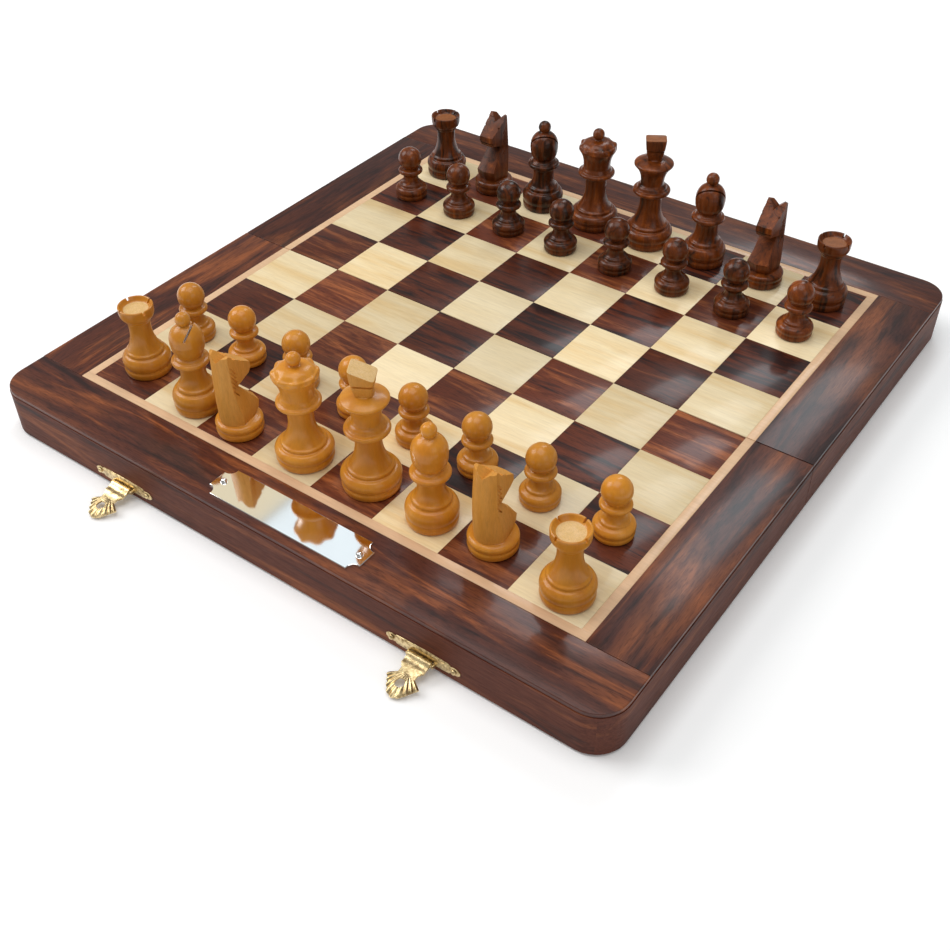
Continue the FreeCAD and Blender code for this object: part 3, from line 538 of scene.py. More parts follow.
def make_board_woods(board):
    """The rosewood and the maple of the board, and the plywood under its squares."""
    dark, mid, light = (tuple(c) for c in (board.rosewood_dark, board.rosewood_mid,
                                           board.rosewood_light))
    warm = tuple(c * f for c, f in zip(mid, (1.18, 0.98, 0.75, 1.0)))
    plum = tuple(c * f for c, f in zip(mid, (0.74, 0.80, 1.05, 1.0)))
    streaks = [(0.34, dark), (0.46, warm), (0.56, warm), (0.74, light)]
    border = [(0.32, dark), (0.46, plum), (0.58, mid), (0.78, light)]
    for axis, along in (("x", X_WAY), ("y", Y_WAY)):
        MATERIALS["border_" + axis] = wood(
            "rosewood border, grain along " + axis.upper(), border, along, band=130.0,
            fibre=1300.0, roughness=0.36, coat=0.30, warp=1.4, patch=light)
        MATERIALS["rail_" + axis] = wood(
            "rosewood rail, grain along " + axis.upper(), streaks, along, band=90.0,
            fibre=1100.0, roughness=0.58, coat=0.04, warp=0.9, flecks=0.3)
    MATERIALS["square_dark"] = wood(
        "rosewood square", streaks, X_WAY, band=190.0, fibre=1300.0, roughness=0.36, coat=0.30,
        warp=0.9, spread=0.22)
    maple = tuple(board.maple)
    pale = shades(maple, (0.34, 0.93, 0.84, 0.70), (0.50, 1, 1, 1), (0.68, 1.06, 1.10, 1.18))
    pinker = shades(maple, (0.32, 0.86, 0.68, 0.66), (0.70, 0.96, 0.80, 0.80))
    MATERIALS["square_light"] = wood(
        "maple square", pale, X_WAY, band=70.0, fibre=900.0, roughness=0.38, coat=0.25,
        spread=0.13, **SMOOTH_GRAIN)
    MATERIALS["strip"] = wood(
        "maple inlay strip", pinker, X_WAY, band=70.0, fibre=900.0, roughness=0.40, coat=0.25,
        spread=0.05, **SMOOTH_GRAIN)
    layers = [(0.3, (0.30, 0.18, 0.09, 1)), (0.7, (0.48, 0.32, 0.18, 1))]
    MATERIALS["plywood"] = wood("deck plywood", layers, X_WAY, band=50.0, fibre=500.0,
                                roughness=0.7, coat=0.0)


def make_piece_woods(pieces):
    """The boxwood and the sheesham of the chess pieces: turned, sawn and across the end."""
    box, she = tuple(pieces.boxwood), tuple(pieces.sheesham)
    honey = shades(box, (0.30, 0.90, 0.80, 0.70), (0.52, 1, 1, 1), (0.74, 1.10, 1.20, 1.9))
    MATERIALS["boxwood"] = wood(
        "boxwood", honey, UPRIGHT, band=110.0, fibre=900.0, roughness=0.33, coat=0.35,
        stretch=7.0, flecks=0.05, fibres=0.14, pore_depth=0.02, spread=0.09)
    MATERIALS["boxwood_sawn"] = wood(
        "sawn boxwood", shades(box, (0.30, 1.0, 1.06, 1.6), (0.70, 1.10, 1.32, 3.2)), UPRIGHT,
        band=160.0, fibre=1400.0, roughness=0.55, coat=0.05, stretch=7.0, flecks=0.10,
        fibres=0.22, pore_depth=0.08, spread=0.05)
    MATERIALS["boxwood_end"] = wood(
        "boxwood end grain", shades(box, (0.30, 1.15, 1.85, 8.0), (0.70, 1.28, 2.20, 13.0)),
        UPRIGHT, band=500.0, fibre=2200.0, roughness=0.55, coat=0.05, flecks=0.25, **END_GRAIN)
    ember = shades(she, (0.34, 0.20, 0.24, 0.40), (0.47, 0.9, 0.9, 0.9), (0.57, 1.1, 1.1, 1.1),
                   (0.74, 2.1, 2.3, 2.0))
    for name, roughness, coat in (("sheesham", 0.30, 0.20), ("sheesham_sawn", 0.42, 0.08)):
        MATERIALS[name] = wood(
            name.replace("_", " "), ember, UPRIGHT, band=230.0, fibre=1300.0,
            roughness=roughness, coat=coat, warp=0.9, stretch=9.0, flecks=0.25, fibres=0.4,
            pore_depth=0.04, spread=0.22)
    MATERIALS["sheesham_end"] = wood(
        "sheesham end grain", shades(she, (0.30, 1.5, 2.2, 4.0), (0.70, 2.3, 3.6, 8.0)), UPRIGHT,
        band=400.0, fibre=1800.0, roughness=0.45, coat=0.10, flecks=0.2, **END_GRAIN)


def make_metals_and_cloths():
    """The brass of the fittings, the plate and its pins, the steel sheet, and both cloths."""
    MATERIALS["brass"] = metal("stamped brass", (0.83, 0.66, 0.36, 1), (0.20, 0.11, 0.035, 1),
                               roughness=0.28, scale=520.0, bump_depth=0.35, patina=0.75)
    MATERIALS["mirror"] = metal("polished plate", (0.93, 0.93, 0.92, 1), (0.86, 0.86, 0.85, 1),
                                roughness=0.05, scale=60.0, bump_depth=0.0, patina=0.3)
    MATERIALS["chrome"] = metal("polished pin", (0.90, 0.90, 0.90, 1), (0.75, 0.75, 0.76, 1),
                                roughness=0.10, scale=300.0, bump_depth=0.02, patina=0.3)
    MATERIALS["steel"] = metal("rolled steel", (0.50, 0.50, 0.51, 1), (0.30, 0.29, 0.28, 1),
                               roughness=0.4, scale=90.0, bump_depth=0.05, patina=0.4)
    MATERIALS["velvet"] = cloth("green velvet", (0.020, 0.10, 0.045, 1),
                                (0.008, 0.045, 0.02, 1), scale=1800.0)
    MATERIALS["felt"] = cloth("green felt", (0.02, 0.07, 0.03, 1), (0.008, 0.03, 0.014, 1),
                              scale=2600.0)


# ------------------------------------------------------------------ board
HALVES = (("near", -1), ("far", 1))
FILES, RANKS = 8, 4  # squares along a half, and rows of them
# Each part's wood offset is drawn with its own seed. The squares count from 0, and the strips,
# the long border boards, the border ends and the chess pieces from these.
FIRST_SEED, STRIP, LONG_BORDER, BORDER_END, CHESS_PIECE = 4000, 100, 200, 210, 500
FURTHEST = 3.0  # the largest wood offset, in metres


def seeded(index):
    """A repeatable wood offset for one board or piece."""
    return np.random.default_rng(FIRST_SEED + index).uniform(-FURTHEST, FURTHEST, 3)


def keep(piece, body, name):
    """Ride a piece on its body and hide the frame node that it stands for."""
    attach(piece, body)
    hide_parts(name)


def along_y(inner, outer, side):
    """Two distances from the fold as Y, lower first."""
    return (inner, outer) if side > 0 else (-outer, -inner)


def build_squares(board, word, side):
    """The 16 light and 16 dark squares of one half, each its own little board."""
    s = board.square
    gap = abs(span(word + "_light_squares")[0 if side > 0 else 1][1])
    for tone, slot in (("light", "pale_maple"), ("dark", "square_rosewood")):
        name = "%s_%s_squares" % (word, tone)
        low, high = span(name)
        shape = Shape()
        for column in range(FILES):
            for step in range(RANKS):
                rank = RANKS + step if side > 0 else RANKS - 1 - step
                if ("light" if (column + rank) % 2 else "dark") != tone:
                    continue
                x0 = (column - FILES // 2) * s
                y0, y1 = along_y(max(step * s, gap), (step + 1) * s, side)
                slab(shape, rectangle(x0, y0, x0 + s, y1), low[2], high[2], 0.0,
                     board.joint, seeded(rank * FILES + column), 3)
        piece = shape.build(name.replace("_squares", "_tiles"), MATERIALS["square_" + tone])
        keep(piece, word + "_half", name)


def build_strips(board, word, side):
    """The pale inlay strip round the squares: one long strip and one at each end."""
    name = word + "_inlay_strip"
    low, high = span(name)
    width = (high[0] - low[0]) / 2 - FILES // 2 * board.square
    inner = min(abs(low[1]), abs(high[1]))
    outer = max(abs(low[1]), abs(high[1]))
    shape = Shape()
    parts = [(low[0], high[0], outer - width, outer), (low[0], low[0] + width, inner, outer - width),
             (high[0] - width, high[0], inner, outer - width)]
    for index, (x0, x1, near, far) in enumerate(parts):
        y0, y1 = along_y(near, far, side)
        slab(shape, rectangle(x0, y0, x1, y1), low[2], high[2], 0.0, board.joint,
             seeded(STRIP + index + (10 if side > 0 else 0)), 3)
    keep(shape.build(word + "_inlay", MATERIALS["strip"]), word + "_half", name)


def half_outline(x0, y_in, x1, y_out, radius, side):
    """A board's outline with its two outer corners rounded."""
    if side > 0:
        return np.concatenate([[(x0, y_in), (x1, y_in)],
                               arc((x1 - radius, y_out - radius), radius, 0, 90),
                               arc((x0 + radius, y_out - radius), radius, 90, 180)])
    return np.concatenate([arc((x0 + radius, y_out + radius), radius, 180, 270),
                           arc((x1 - radius, y_out + radius), radius, 270, 360),
                           [(x1, y_in), (x0, y_in)]])


def build_border(board, word, side):
    """The three border boards of one half: a long one with rounded corners and two ends."""
    name = word + "_border"
    low, high = span(name)
    strip_low, strip_high = span(word + "_inlay_strip")
    y_out = high[1] if side > 0 else low[1]
    y_in = strip_high[1] if side > 0 else strip_low[1]
    y_fold = low[1] if side > 0 else high[1]
    radius = board.corner - (span(word + "_rails")[1][0] - high[0])
    long_board = Shape()
    slab(long_board, half_outline(low[0], y_in, high[0], y_out, radius, side), low[2], high[2],
         0.0, board.edge, seeded(LONG_BORDER + side))
    piece = long_board.build(word + "_border_long", MATERIALS["border_x"])
    keep(piece, word + "_half", name)
    ends = Shape()
    for index, (x0, x1) in enumerate(((low[0], strip_low[0]), (strip_high[0], high[0]))):
        outline = rectangle(x0, min(y_fold, y_in), x1, max(y_fold, y_in))
        slab(ends, outline, low[2], high[2], 0.0, board.joint,
             seeded(BORDER_END + side * 4 + index))
    piece = ends.build(word + "_border_ends", MATERIALS["border_y"])
    keep(piece, word + "_half", name)


def finish_node(name, material):
    """Give a frame node that keeps its own shape a better finish."""
    for slot in frame["nodes"][name].material_slots:
        slot.material = MATERIALS[material]


FLAT = 1.0  # faces that meet at less than this many degrees are one flat face
EASED = 40.0  # edges sharper than this many degrees are eased


def softened(name, source, material, width):
    """A copy of a frame node's shape, merged, with its sharp edges eased."""
    mesh = frame["nodes"][source].data.copy()
    work = bmesh.new()
    work.from_mesh(mesh)
    bmesh.ops.remove_doubles(work, verts=work.verts, dist=MERGE)
    bmesh.ops.dissolve_limit(work, angle_limit=math.radians(FLAT), verts=work.verts,
                             edges=work.edges)
    bmesh.ops.recalc_face_normals(work, faces=work.faces)
    work.to_mesh(mesh)
    work.free()
    mesh.materials.clear()
    mesh.materials.append(MATERIALS[material])
    obj = linked(name, mesh)
    shade(mesh, CRISP)
    bevel = obj.modifiers.new("eased", "BEVEL")
    bevel.width = width
    bevel.segments = 2
    bevel.limit_method = "ANGLE"
    bevel.angle_limit = math.radians(EASED)
    return obj


def build_rails(board, word, side):
    """The outer rail with its rounded corners, the two end rails and the fold rail of one half."""
    name = word + "_rails"
    piece = softened(word + "_rail_set", name, "rail_x", board.edge * 0.6)
    piece.data.materials.append(MATERIALS["rail_y"])
    half = span(name)[1][0]
    wall = half - span(word + "_deck")[1][0]
    for face in piece.data.polygons:  # the end rails' grain runs the other way
        if abs(face.center[0]) > half - wall and abs(face.normal[0]) > 0.5:
            face.material_index = 1
    keep(piece, word + "_half", name)


class CHESS_OT_board(Operator):
    """Lay the squares, inlay strips and border boards of both halves"""

    bl_idname = "chess.board"
    bl_label = "Playing Surface"

    def execute(self, context):
        board = context.scene.chess_board
        for word, side in HALVES:
            build_squares(board, word, side)
            build_strips(board, word, side)
            build_border(board, word, side)
        return {"FINISHED"}


class CHESS_OT_case(Operator):
    """Make the rails and finish the deck, steel sheet and lined insert of both halves"""

    bl_idname = "chess.case"
    bl_label = "Case"

    def execute(self, context):
        board = context.scene.chess_board
        for word, side in HALVES:
            build_rails(board, word, side)
            finish_node(word + "_deck", "plywood")
            finish_node(word + "_steel_sheet", "steel")
            finish_node(word + "_insert", "velvet")
        return {"FINISHED"}


# ------------------------------------------------------------------ fittings
def plate_outline(length, width, notch, shoulder):
    """A rectangle whose corners are scooped by quarter circles between two small shoulders."""
    x, y = length / 2, width / 2
    corner = arc((x - shoulder, y - shoulder), notch, 180, 270, 10)[::-1]
    quarter = np.concatenate([[(x, y - shoulder - notch)], corner, [(x - shoulder - notch, y)]])
    mirror = quarter[::-1] * (-1, 1)
    return np.concatenate([quarter, mirror, -quarter, -mirror])


SHOULDER = 0.6 * MM  # the name plate's small steps beside its scoops
PLATE_EDGE = 0.28 * MM
PLATE_CRISP = 8.0


class CHESS_OT_plate(Operator):
    """Make the polished name plate and its two domed pins"""

    bl_idname = "chess.plate"
    bl_label = "Name Plate"

    def execute(self, context):
        board = context.scene.chess_board
        low, high = span("name_plate")
        size, centre = high - low, (low + high) / 2
        outline = plate_outline(size[0], size[1], board.plate_notch, SHOULDER) + centre[:2]
        plate = Shape()
        slab(plate, outline, low[2], high[2], 0.0, PLATE_EDGE)
        keep(plate.build("plate", MATERIALS["mirror"], PLATE_CRISP), "near_half",
             "name_plate")
        low, high = span("name_plate_pins")
        radius = (high[1] - low[1]) / 2
        pins = Shape()
        for x in (low[0] + radius, high[0] - radius):
            dome(pins, (x, centre[1], low[2]), radius, high[2] - low[2], "up")
        keep(pins.build("plate_pins", MATERIALS["chrome"]), "near_half",
             "name_plate_pins")
        return {"FINISHED"}


def aimed(points, origin, way):
    """Turned points stood at a place, their axis pointing up, out of the front, or along X."""
    x, y, z = points[..., 0], points[..., 1], points[..., 2]
    turned = {"up": (x, y, z), "front": (x, -z, y), "along": (z, x, y)}[way]
    return np.stack(turned, axis=-1) + np.asarray(origin)


SMALL_TURNS = 32  # faces round a pin, nail or rod


def small_turning(shape, outline, origin, way):
    """Add a small outline turned about its axis."""
    points = lathe(outline, even_angles(SMALL_TURNS))
    shape.add(aimed(points, origin, way), grid_faces(len(outline), SMALL_TURNS, closed=True))


def dome(shape, origin, radius, height, way):
    """A nail or pin head: the half ellipse (r cos t, h sin t) turned, over a flat foot."""
    t = np.linspace(0, math.pi / 2, 12)
    bow = np.column_stack([radius * np.cos(t), height * np.sin(t)])
    small_turning(shape, np.concatenate([[(0.0, 0.0)], bow]), origin, way)


def rod(shape, origin, radius, length, way):
    """A round rod centred on a place, its ends chamfered by a quarter of its radius."""
    edge = radius * 0.25
    outline = np.array([(0, -length / 2), (radius - edge, -length / 2),
                        (radius, edge - length / 2), (radius, length / 2 - edge),
                        (radius - edge, length / 2), (0, length / 2)])
    small_turning(shape, outline, origin, way)


def joint_place(name):
    """Where a joint of the frame turns, as an array."""
    return np.array(next(j for j in frame["joints"] if j["name"] == name)["pos_m"])


# The latches. Angles are in degrees, and plain lengths in millimetres.
LEAF_DROOP = 9.0
BARREL = (1.25 * MM, 9.8 * MM)  # radius and length of the roll at the leaf's top
STUB = (0.7 * MM, 10.5 * MM)  # radius and length of the pivot that shows at its ends
ROLL = 1.33  # outer radius of the sheet where it is rolled over the barrel
NECK_OUT = (0, 4.5, 4.8, 5.4, 5.7, 10)  # distance from the pivot, and the neck's half width there
NECK_HALF = (4.95, 4.95, 4.3, 4.2, 3.6, 3.6)
RIBS, FAN_SPREAD, FAN_REACH, FAN_ROOT = 9, math.radians(58), 11.9, 5.5
SHELL_THICK = 0.75
HOLE_OUT, HOLE_WIDE = 11.5 * MM, 3.8 * MM  # the leaf's hole: its place and its diameter
PLATE_HALF = 16.5 * MM  # half of the base plate's length
PLATE_ALONG = (0.0, 0.06, 0.16, 0.24, 0.30, 1.0, 1.70, 1.76, 1.84, 1.94, 2.0)
PLATE_DEPTH = (0.20, 0.52, 0.66, 0.56, 0.86, 1.0, 0.86, 0.56, 0.66, 0.52, 0.20)
PLATE_LAYERS = ((1.0, 0.36 * MM), (0.68, 0.54 * MM))  # share of the length, and thickness
PLATE_BEND = 0.16 * MM
EAR_NEAR, EAR_FAR = 5.3 * MM, 6.1 * MM
NAIL_OUT, NAIL_RADIUS, NAIL_RISE, NAIL_PROUD = 13.9 * MM, 1.1 * MM, 0.9 * MM, 0.6 * MM
LATCH_CRISP = 35.0


def hang(points, pivot):
    """Turn a leaf drawn level, as (across, outward, up), down to where it hangs."""
    droop = math.radians(LEAF_DROOP)
    x, out, up = points[..., 0], points[..., 1], points[..., 2]
    return np.stack([pivot[0] + x, pivot[1] - out * math.cos(droop) - up * math.sin(droop),
                     pivot[2] - out * math.sin(droop) + up * math.cos(droop)], axis=-1)


def leaf_neck(shape, pivot):
    """The leaf's neck: a plate rolled over the barrel at its top, with steps at its sides.

    Behind the pivot it follows a circle of the roll's radius. In front of it, y out, its height
    is 0.45 + 0.88 exp(-(y/1.5)^2) + 0.18 exp(-((y-4.2)/1.3)^2), a low ridge across the neck, and
    at share v of its half width it lies 0.10 v^2 lower.
    """
    out = np.linspace(-1.15, 9.5, 64)
    half = np.interp(out, NECK_OUT, NECK_HALF)
    rolled = np.sqrt(np.clip(ROLL ** 2 - np.minimum(out, 0) ** 2, 0, None))
    up = np.where(out < 0, rolled, 0.45 + 0.88 * np.exp(-(out / 1.5) ** 2)
                  + 0.18 * np.exp(-((out - 4.2) / 1.3) ** 2))
    across = np.linspace(-1, 1, 21)
    w, v = np.meshgrid(out, across, indexing="ij")
    x = half[:, None] * across
    top = np.stack([x, w, up[:, None] - 0.10 * v ** 2], axis=-1) * MM
    bottom = np.stack([x, w, np.broadcast_to(np.where(out < 0.4, up - 0.3, -0.4)[:, None],
                                             w.shape)], axis=-1) * MM
    two_sided(shape, hang(top, pivot), hang(bottom, pivot))


def leaf_shell(shape, pivot):
    """The leaf's shell: a fan of rounded ribs that spread from the neck to a pointed rim.

    At share q of the spread from the middle the rim lies at R (0.71 + 0.29 exp(-(q/0.45)^2)) and
    draws in by up to 0.045 of that between the ribs. At share t of the way to the rim the height
    is 0.65 (1 - q^2) sin(pi t) + 0.15 for the dome, plus 0.40 (c - 0.5) for the ribs, c being a
    cosine wave of the angle that fades towards the root, less 0.50 t^8 where the rim turns down.
    """
    angle = np.linspace(-FAN_SPREAD, FAN_SPREAD, RIBS * 10 + 1)
    share = angle / FAN_SPREAD
    rib = 0.5 - 0.5 * np.cos((share + 1) * math.pi * RIBS)
    rim = FAN_REACH * (0.71 + 0.29 * np.exp(-(share / 0.45) ** 2)) * (0.955 + 0.045 * rib ** 0.5)
    t = np.linspace(0.10, 1.0, 34)[:, None]
    r = rim * t
    x, out = r * np.sin(angle), FAN_ROOT + r * np.cos(angle)
    crown = 0.65 * (1 - share ** 2) * np.sin(math.pi * t) + 0.15
    up = crown + 0.40 * (rib - 0.5) * np.clip(t * 1.6 - 0.2, 0, 1) - 0.50 * t ** 8
    top = np.stack([x, out, up], axis=-1) * MM
    bottom = np.stack([x, out, up - SHELL_THICK], axis=-1) * MM
    two_sided(shape, hang(top, pivot), hang(bottom, pivot))


def latch_plate(pivot, low, high, front):
    """The base plate: a raised middle, wavy narrow ends for the nails, and two small ears.

    Its outline runs through the given depths at the given places along its half length, and back
    on the other side. The raised middle is the same outline drawn in.
    """
    shape = Shape()
    middle, reach = (low[2] + high[2]) / 2, (high[2] - low[2]) / 2
    along = (np.array(PLATE_ALONG) - 1.0) * PLATE_HALF
    depth = np.array(PLATE_DEPTH) * reach
    outline = np.concatenate([np.column_stack([along, -depth]),
                              np.column_stack([along, depth])[::-1]])
    for size, thick in PLATE_LAYERS:
        sheet = Shape()
        slab(sheet, outline * (size, size ** 0.3), 0.0, thick, 0.0, PLATE_BEND)
        standing = aimed(np.concatenate(sheet.points), (pivot[0], front, middle), "front")
        shape.add(standing, [f for f in sheet.faces if len(f) == 4],
                  [f for f in sheet.faces if len(f) != 4])
    for ear in (-1, 1):
        near, far = pivot[0] + ear * EAR_NEAR, pivot[0] + ear * EAR_FAR
        slab(shape, rectangle(min(near, far), pivot[1] - 0.5 * MM, max(near, far), front),
             pivot[2] - 1.0 * MM, pivot[2] + 0.6 * MM, 0.25 * MM, 0.25 * MM)
    return shape


def build_leaf(word, pivot):
    """One swinging leaf: its neck with the barrel and pivot in it, and the shell with its hole."""
    body, name = word + "_latch", word + "_latch_leaf"
    neck = Shape()
    leaf_neck(neck, pivot)
    for radius, length in (BARREL, STUB):
        rod(neck, pivot, radius, length, "along")
    keep(neck.build(word + "_latch_neck", MATERIALS["brass"], LATCH_CRISP), body, name)
    fan = Shape()
    leaf_shell(fan, pivot)
    shell = fan.build(word + "_latch_shell", MATERIALS["brass"], LATCH_CRISP)
    drill = place_at(hang(np.array([0.0, HOLE_OUT, 0.0]), pivot), (LEAF_DROOP, "X"))
    saw(shell, [cutter("rod", (HOLE_WIDE, HOLE_WIDE, 9 * MM), drill)], LATCH_CRISP)
    keep(shell, body, name)


class CHESS_OT_fittings(Operator):
    """Make the latches and their nails, and finish the hinges, screws and catch studs"""

    bl_idname = "chess.fittings"
    bl_label = "Hinges and Latches"

    def execute(self, context):
        front = span("near_rails")[0][1]
        nails = Shape()
        low, high = span("latch_plates")
        for word in ("left", "right"):
            pivot = joint_place(word + "_latch_swing")
            plate = latch_plate(pivot, low, high, front)
            keep(plate.build(word + "_latch_plate", MATERIALS["brass"]), "near_half",
                 "latch_plates")
            for end in (-1, 1):
                dome(nails, (pivot[0] + end * NAIL_OUT, front - NAIL_PROUD,
                             (low[2] + high[2]) / 2), NAIL_RADIUS, NAIL_RISE, "front")
            build_leaf(word, pivot)
        keep(nails.build("latch_nail_heads", MATERIALS["brass"]), "near_half",
             "latch_nails")
        for name in ("catch_studs", "hinge_near_leaves", "hinge_far_leaves", "hinge_pins",
                     "hinge_screws_near", "hinge_screws_far"):
            finish_node(name, "brass")
        return {"FINISHED"}


# ------------------------------------------------------------------ chess pieces
# Outlines from the foot up: (radius, rise, swell) as parts of the kind's base radius, height and
# base radius. The stretch that leads to a station bows out by its swell.
FOOT = [(0.0, 0.004, 0), (0.93, 0.004, 0), (0.962, 0.014, 0.01), (0.985, 0.052, 0.01),
        (0.955, 0.063, 0), (0.957, 0.072, -0.012), (0.865, 0.160, 0.095), (0.765, 0.167, -0.01),
        (0.778, 0.175, 0.008), (0.772, 0.190, 0.010), (0.700, 0.197, 0.0), (0.440, 0.420, -0.085)]
OUTLINES = {
    "king": FOOT + [(0.450, 0.452, -0.01), (0.735, 0.483, -0.04), (0.756, 0.493, 0.01),
                    (0.738, 0.512, 0.012), (0.600, 0.521, 0), (0.590, 0.532, 0.01),
                    (0.560, 0.545, 0.01), (0.480, 0.556, 0), (0.470, 0.568, -0.01),
                    (0.772, 0.728, -0.09), (0.788, 0.738, 0.01), (0.770, 0.749, 0.01),
                    (0.330, 0.782, 0.015), (0.285, 0.790, -0.01), (0.270, 0.812, 0),
                    (0.0, 0.812, 0)],
    "queen": FOOT + [(0.450, 0.505, -0.01), (0.740, 0.541, -0.04), (0.757, 0.553, 0.01),
                     (0.742, 0.572, 0.012), (0.630, 0.582, 0), (0.620, 0.592, 0.01),
                     (0.590, 0.605, 0.01), (0.555, 0.618, 0), (0.560, 0.635, -0.01),
                     (0.775, 0.795, -0.06), (0.792, 0.815, 0.01), (0.772, 0.842, 0.012),
                     (0.660, 0.850, -0.01), (0.210, 0.886, 0.045), (0.160, 0.892, -0.01),
                     (0.150, 0.900, 0)],
    "bishop": [(0.0, 0.005, 0), (0.93, 0.005, 0), (0.962, 0.018, 0.01), (0.985, 0.064, 0.01),
               (0.955, 0.076, 0), (0.957, 0.087, -0.012), (0.865, 0.214, 0.09),
               (0.735, 0.226, -0.01), (0.745, 0.238, 0.008), (0.735, 0.257, 0.010),
               (0.650, 0.267, 0),
               (0.510, 0.385, -0.04), (0.525, 0.455, -0.01), (0.715, 0.490, -0.04),
               (0.757, 0.508, 0.015), (0.730, 0.532, 0.015), (0.600, 0.543, 0),
               (0.585, 0.552, 0.01), (0.550, 0.560, 0.01), (0.480, 0.568, 0),
               (0.665, 0.690, 0.05), (0.672, 0.725, 0.01), (0.215, 0.878, 0.14),
               (0.200, 0.888, -0.01)],
    "rook": [(0.0, 0.006, 0), (0.93, 0.006, 0), (0.962, 0.022, 0.01), (0.985, 0.092, 0.012),
             (0.955, 0.110, 0), (0.957, 0.127, -0.012), (0.865, 0.288, 0.09),
             (0.765, 0.302, -0.01), (0.778, 0.318, 0.008), (0.770, 0.342, 0.010),
             (0.700, 0.352, 0),
             (0.462, 0.735, -0.095), (0.470, 0.770, 0), (0.515, 0.784, 0.01),
             (0.535, 0.800, 0.01), (0.550, 0.818, -0.005), (0.685, 0.868, 0.03),
             (0.710, 0.900, 0.01), (0.722, 0.985, 0.004), (0.712, 1.000, 0.004),
             (0.655, 1.000, 0), (0.640, 0.994, 0.004), (0.520, 0.942, -0.010),
             (0.505, 0.938, 0), (0.0, 0.938, 0)],
    "pawn": [(0.0, 0.008, 0), (0.93, 0.008, 0), (0.962, 0.024, 0.01), (0.985, 0.084, 0.01),
             (0.955, 0.098, 0), (0.957, 0.110, -0.012), (0.860, 0.232, 0.09),
             (0.700, 0.256, -0.01), (0.712, 0.270, 0.008), (0.700, 0.288, 0.010),
             (0.612, 0.298, 0),
             (0.470, 0.385, -0.03), (0.500, 0.462, -0.02), (0.715, 0.508, -0.03),
             (0.757, 0.532, 0.02), (0.740, 0.566, 0.02), (0.640, 0.590, 0.015),
             (0.500, 0.606, 0)],
    "knight": [(0.0, 0.006, 0), (0.93, 0.006, 0), (0.962, 0.020, 0.01), (0.985, 0.072, 0.01),
               (0.955, 0.084, 0), (0.957, 0.095, -0.012), (0.79, 0.172, 0.11),
               (0.70, 0.184, -0.01), (0.0, 0.190, 0)],
}
# Each kind's base radius and height, in millimetres.
SIZES = {"king": (11.9, 57.0), "queen": (11.8, 50.9), "bishop": (10.3, 46.4),
         "knight": (9.9, 41.0), "rook": (10.3, 32.8), "pawn": (8.2, 27.0)}
# Radius and centre of the balls on top, as parts of the kind's base radius and height.
BALLS = {"queen": (0.245, 0.942), "bishop": (0.300, 0.929), "pawn": (0.728, 0.777)}
# How far each bishop's slit is turned from the right-hand side, in degrees, and how far it is
# cut below the usual place, as a part of the height.
SLITS = {"white_bishop_b1": (32, 0.0), "white_bishop_f1": (125, 0.0),
         "dark_bishop_c8": (125, 0.045), "dark_bishop_f8": (118, 0.055)}


TURNED_CRISP, SAWN_CRISP = 38.0, 25.0


def real_size(kind):
    """A kind's base radius and height in metres."""
    return [value * MM for value in SIZES[kind]]


def real_outline(kind, step):
    """A kind's outline in metres: its stations, then the arc of its ball from neck to top.

    The arc holds the points (R cos a, c + R sin a), from the angle where the ball is as wide as
    the neck to straight up.
    """
    base, height = real_size(kind)
    stations = [(r * base, z * height, swell * base) for r, z, swell in OUTLINES[kind]]
    if kind in BALLS:
        radius, centre = BALLS[kind][0] * base, BALLS[kind][1] * height
        start = -math.acos(stations[-1][0] / radius)
        ball = arc((0.0, centre), radius, math.degrees(start), 90.0, 40)
        stations += [(max(r, 0.0), z, 0) for r, z in ball]
    return turned_outline(stations, step)


POINTS_ROUND = 8  # points of the queen's crown
RIM_RISE, RIM_BAND = 0.830, 0.026  # where its rim is and how far it fades, as parts of the height
DRAWN_IN, DRAWN_DOWN = 0.085, 0.012  # the scallops' depth, as parts of the radius and the height


def scallop(points):
    """Draw the queen's rim in and down between its points.

    The share is exp(-((z - rim) / band)^2) (1 - cos n a) / 2 at angle a round the axis.
    """
    _, height = real_size("queen")
    angle = np.arctan2(points[..., 1], points[..., 0])
    band = np.exp(-((points[..., 2] / height - RIM_RISE) / RIM_BAND) ** 2)
    share = band * (0.5 - 0.5 * np.cos(POINTS_ROUND * angle))
    points[..., :2] *= (1 - DRAWN_IN * share)[..., None]
    points[..., 2] -= DRAWN_DOWN * height * share
    return points


def turned_wood(kind, sizes, figure):
    """The turned wood of one kind, with the queen's scallops worked into the surface."""
    outline = real_outline(kind, sizes.step)
    points = lathe(outline, even_angles(sizes.turns))
    if kind == "queen":
        points = scallop(points)
    shape = Shape()
    shape.add(points, grid_faces(len(outline), sizes.turns, closed=True), figure=figure)
    return shape


# The king's finial. Up to its groove: half width and height as parts of the king's. Above it:
# half width, and share of the way to the sawn top. The square's power, faces and turn.
FINIAL_FOOT = ((0.0, 0.785), (0.27, 0.785), (0.285, 0.805), (0.345, 0.850), (0.350, 0.866),
               (0.300, 0.870), (0.300, 0.879), (0.372, 0.884))
FINIAL_HEAD = ((0.385, 0.3), (0.40, 0.6), (0.41, 0.9), (0.405, 0.97), (0.385, 1.0), (0.0, 1.0))
FINIAL_POWER, FINIAL_FACES, FINIAL_TURN, FINIAL_TOP = 9, 64, 30, 0.960
# Which way each king's sawn top falls, in degrees, and how steeply.
FALLS = {"white_king_e1": (36, 0.42), "dark_king_e8": (-54, 0.14)}


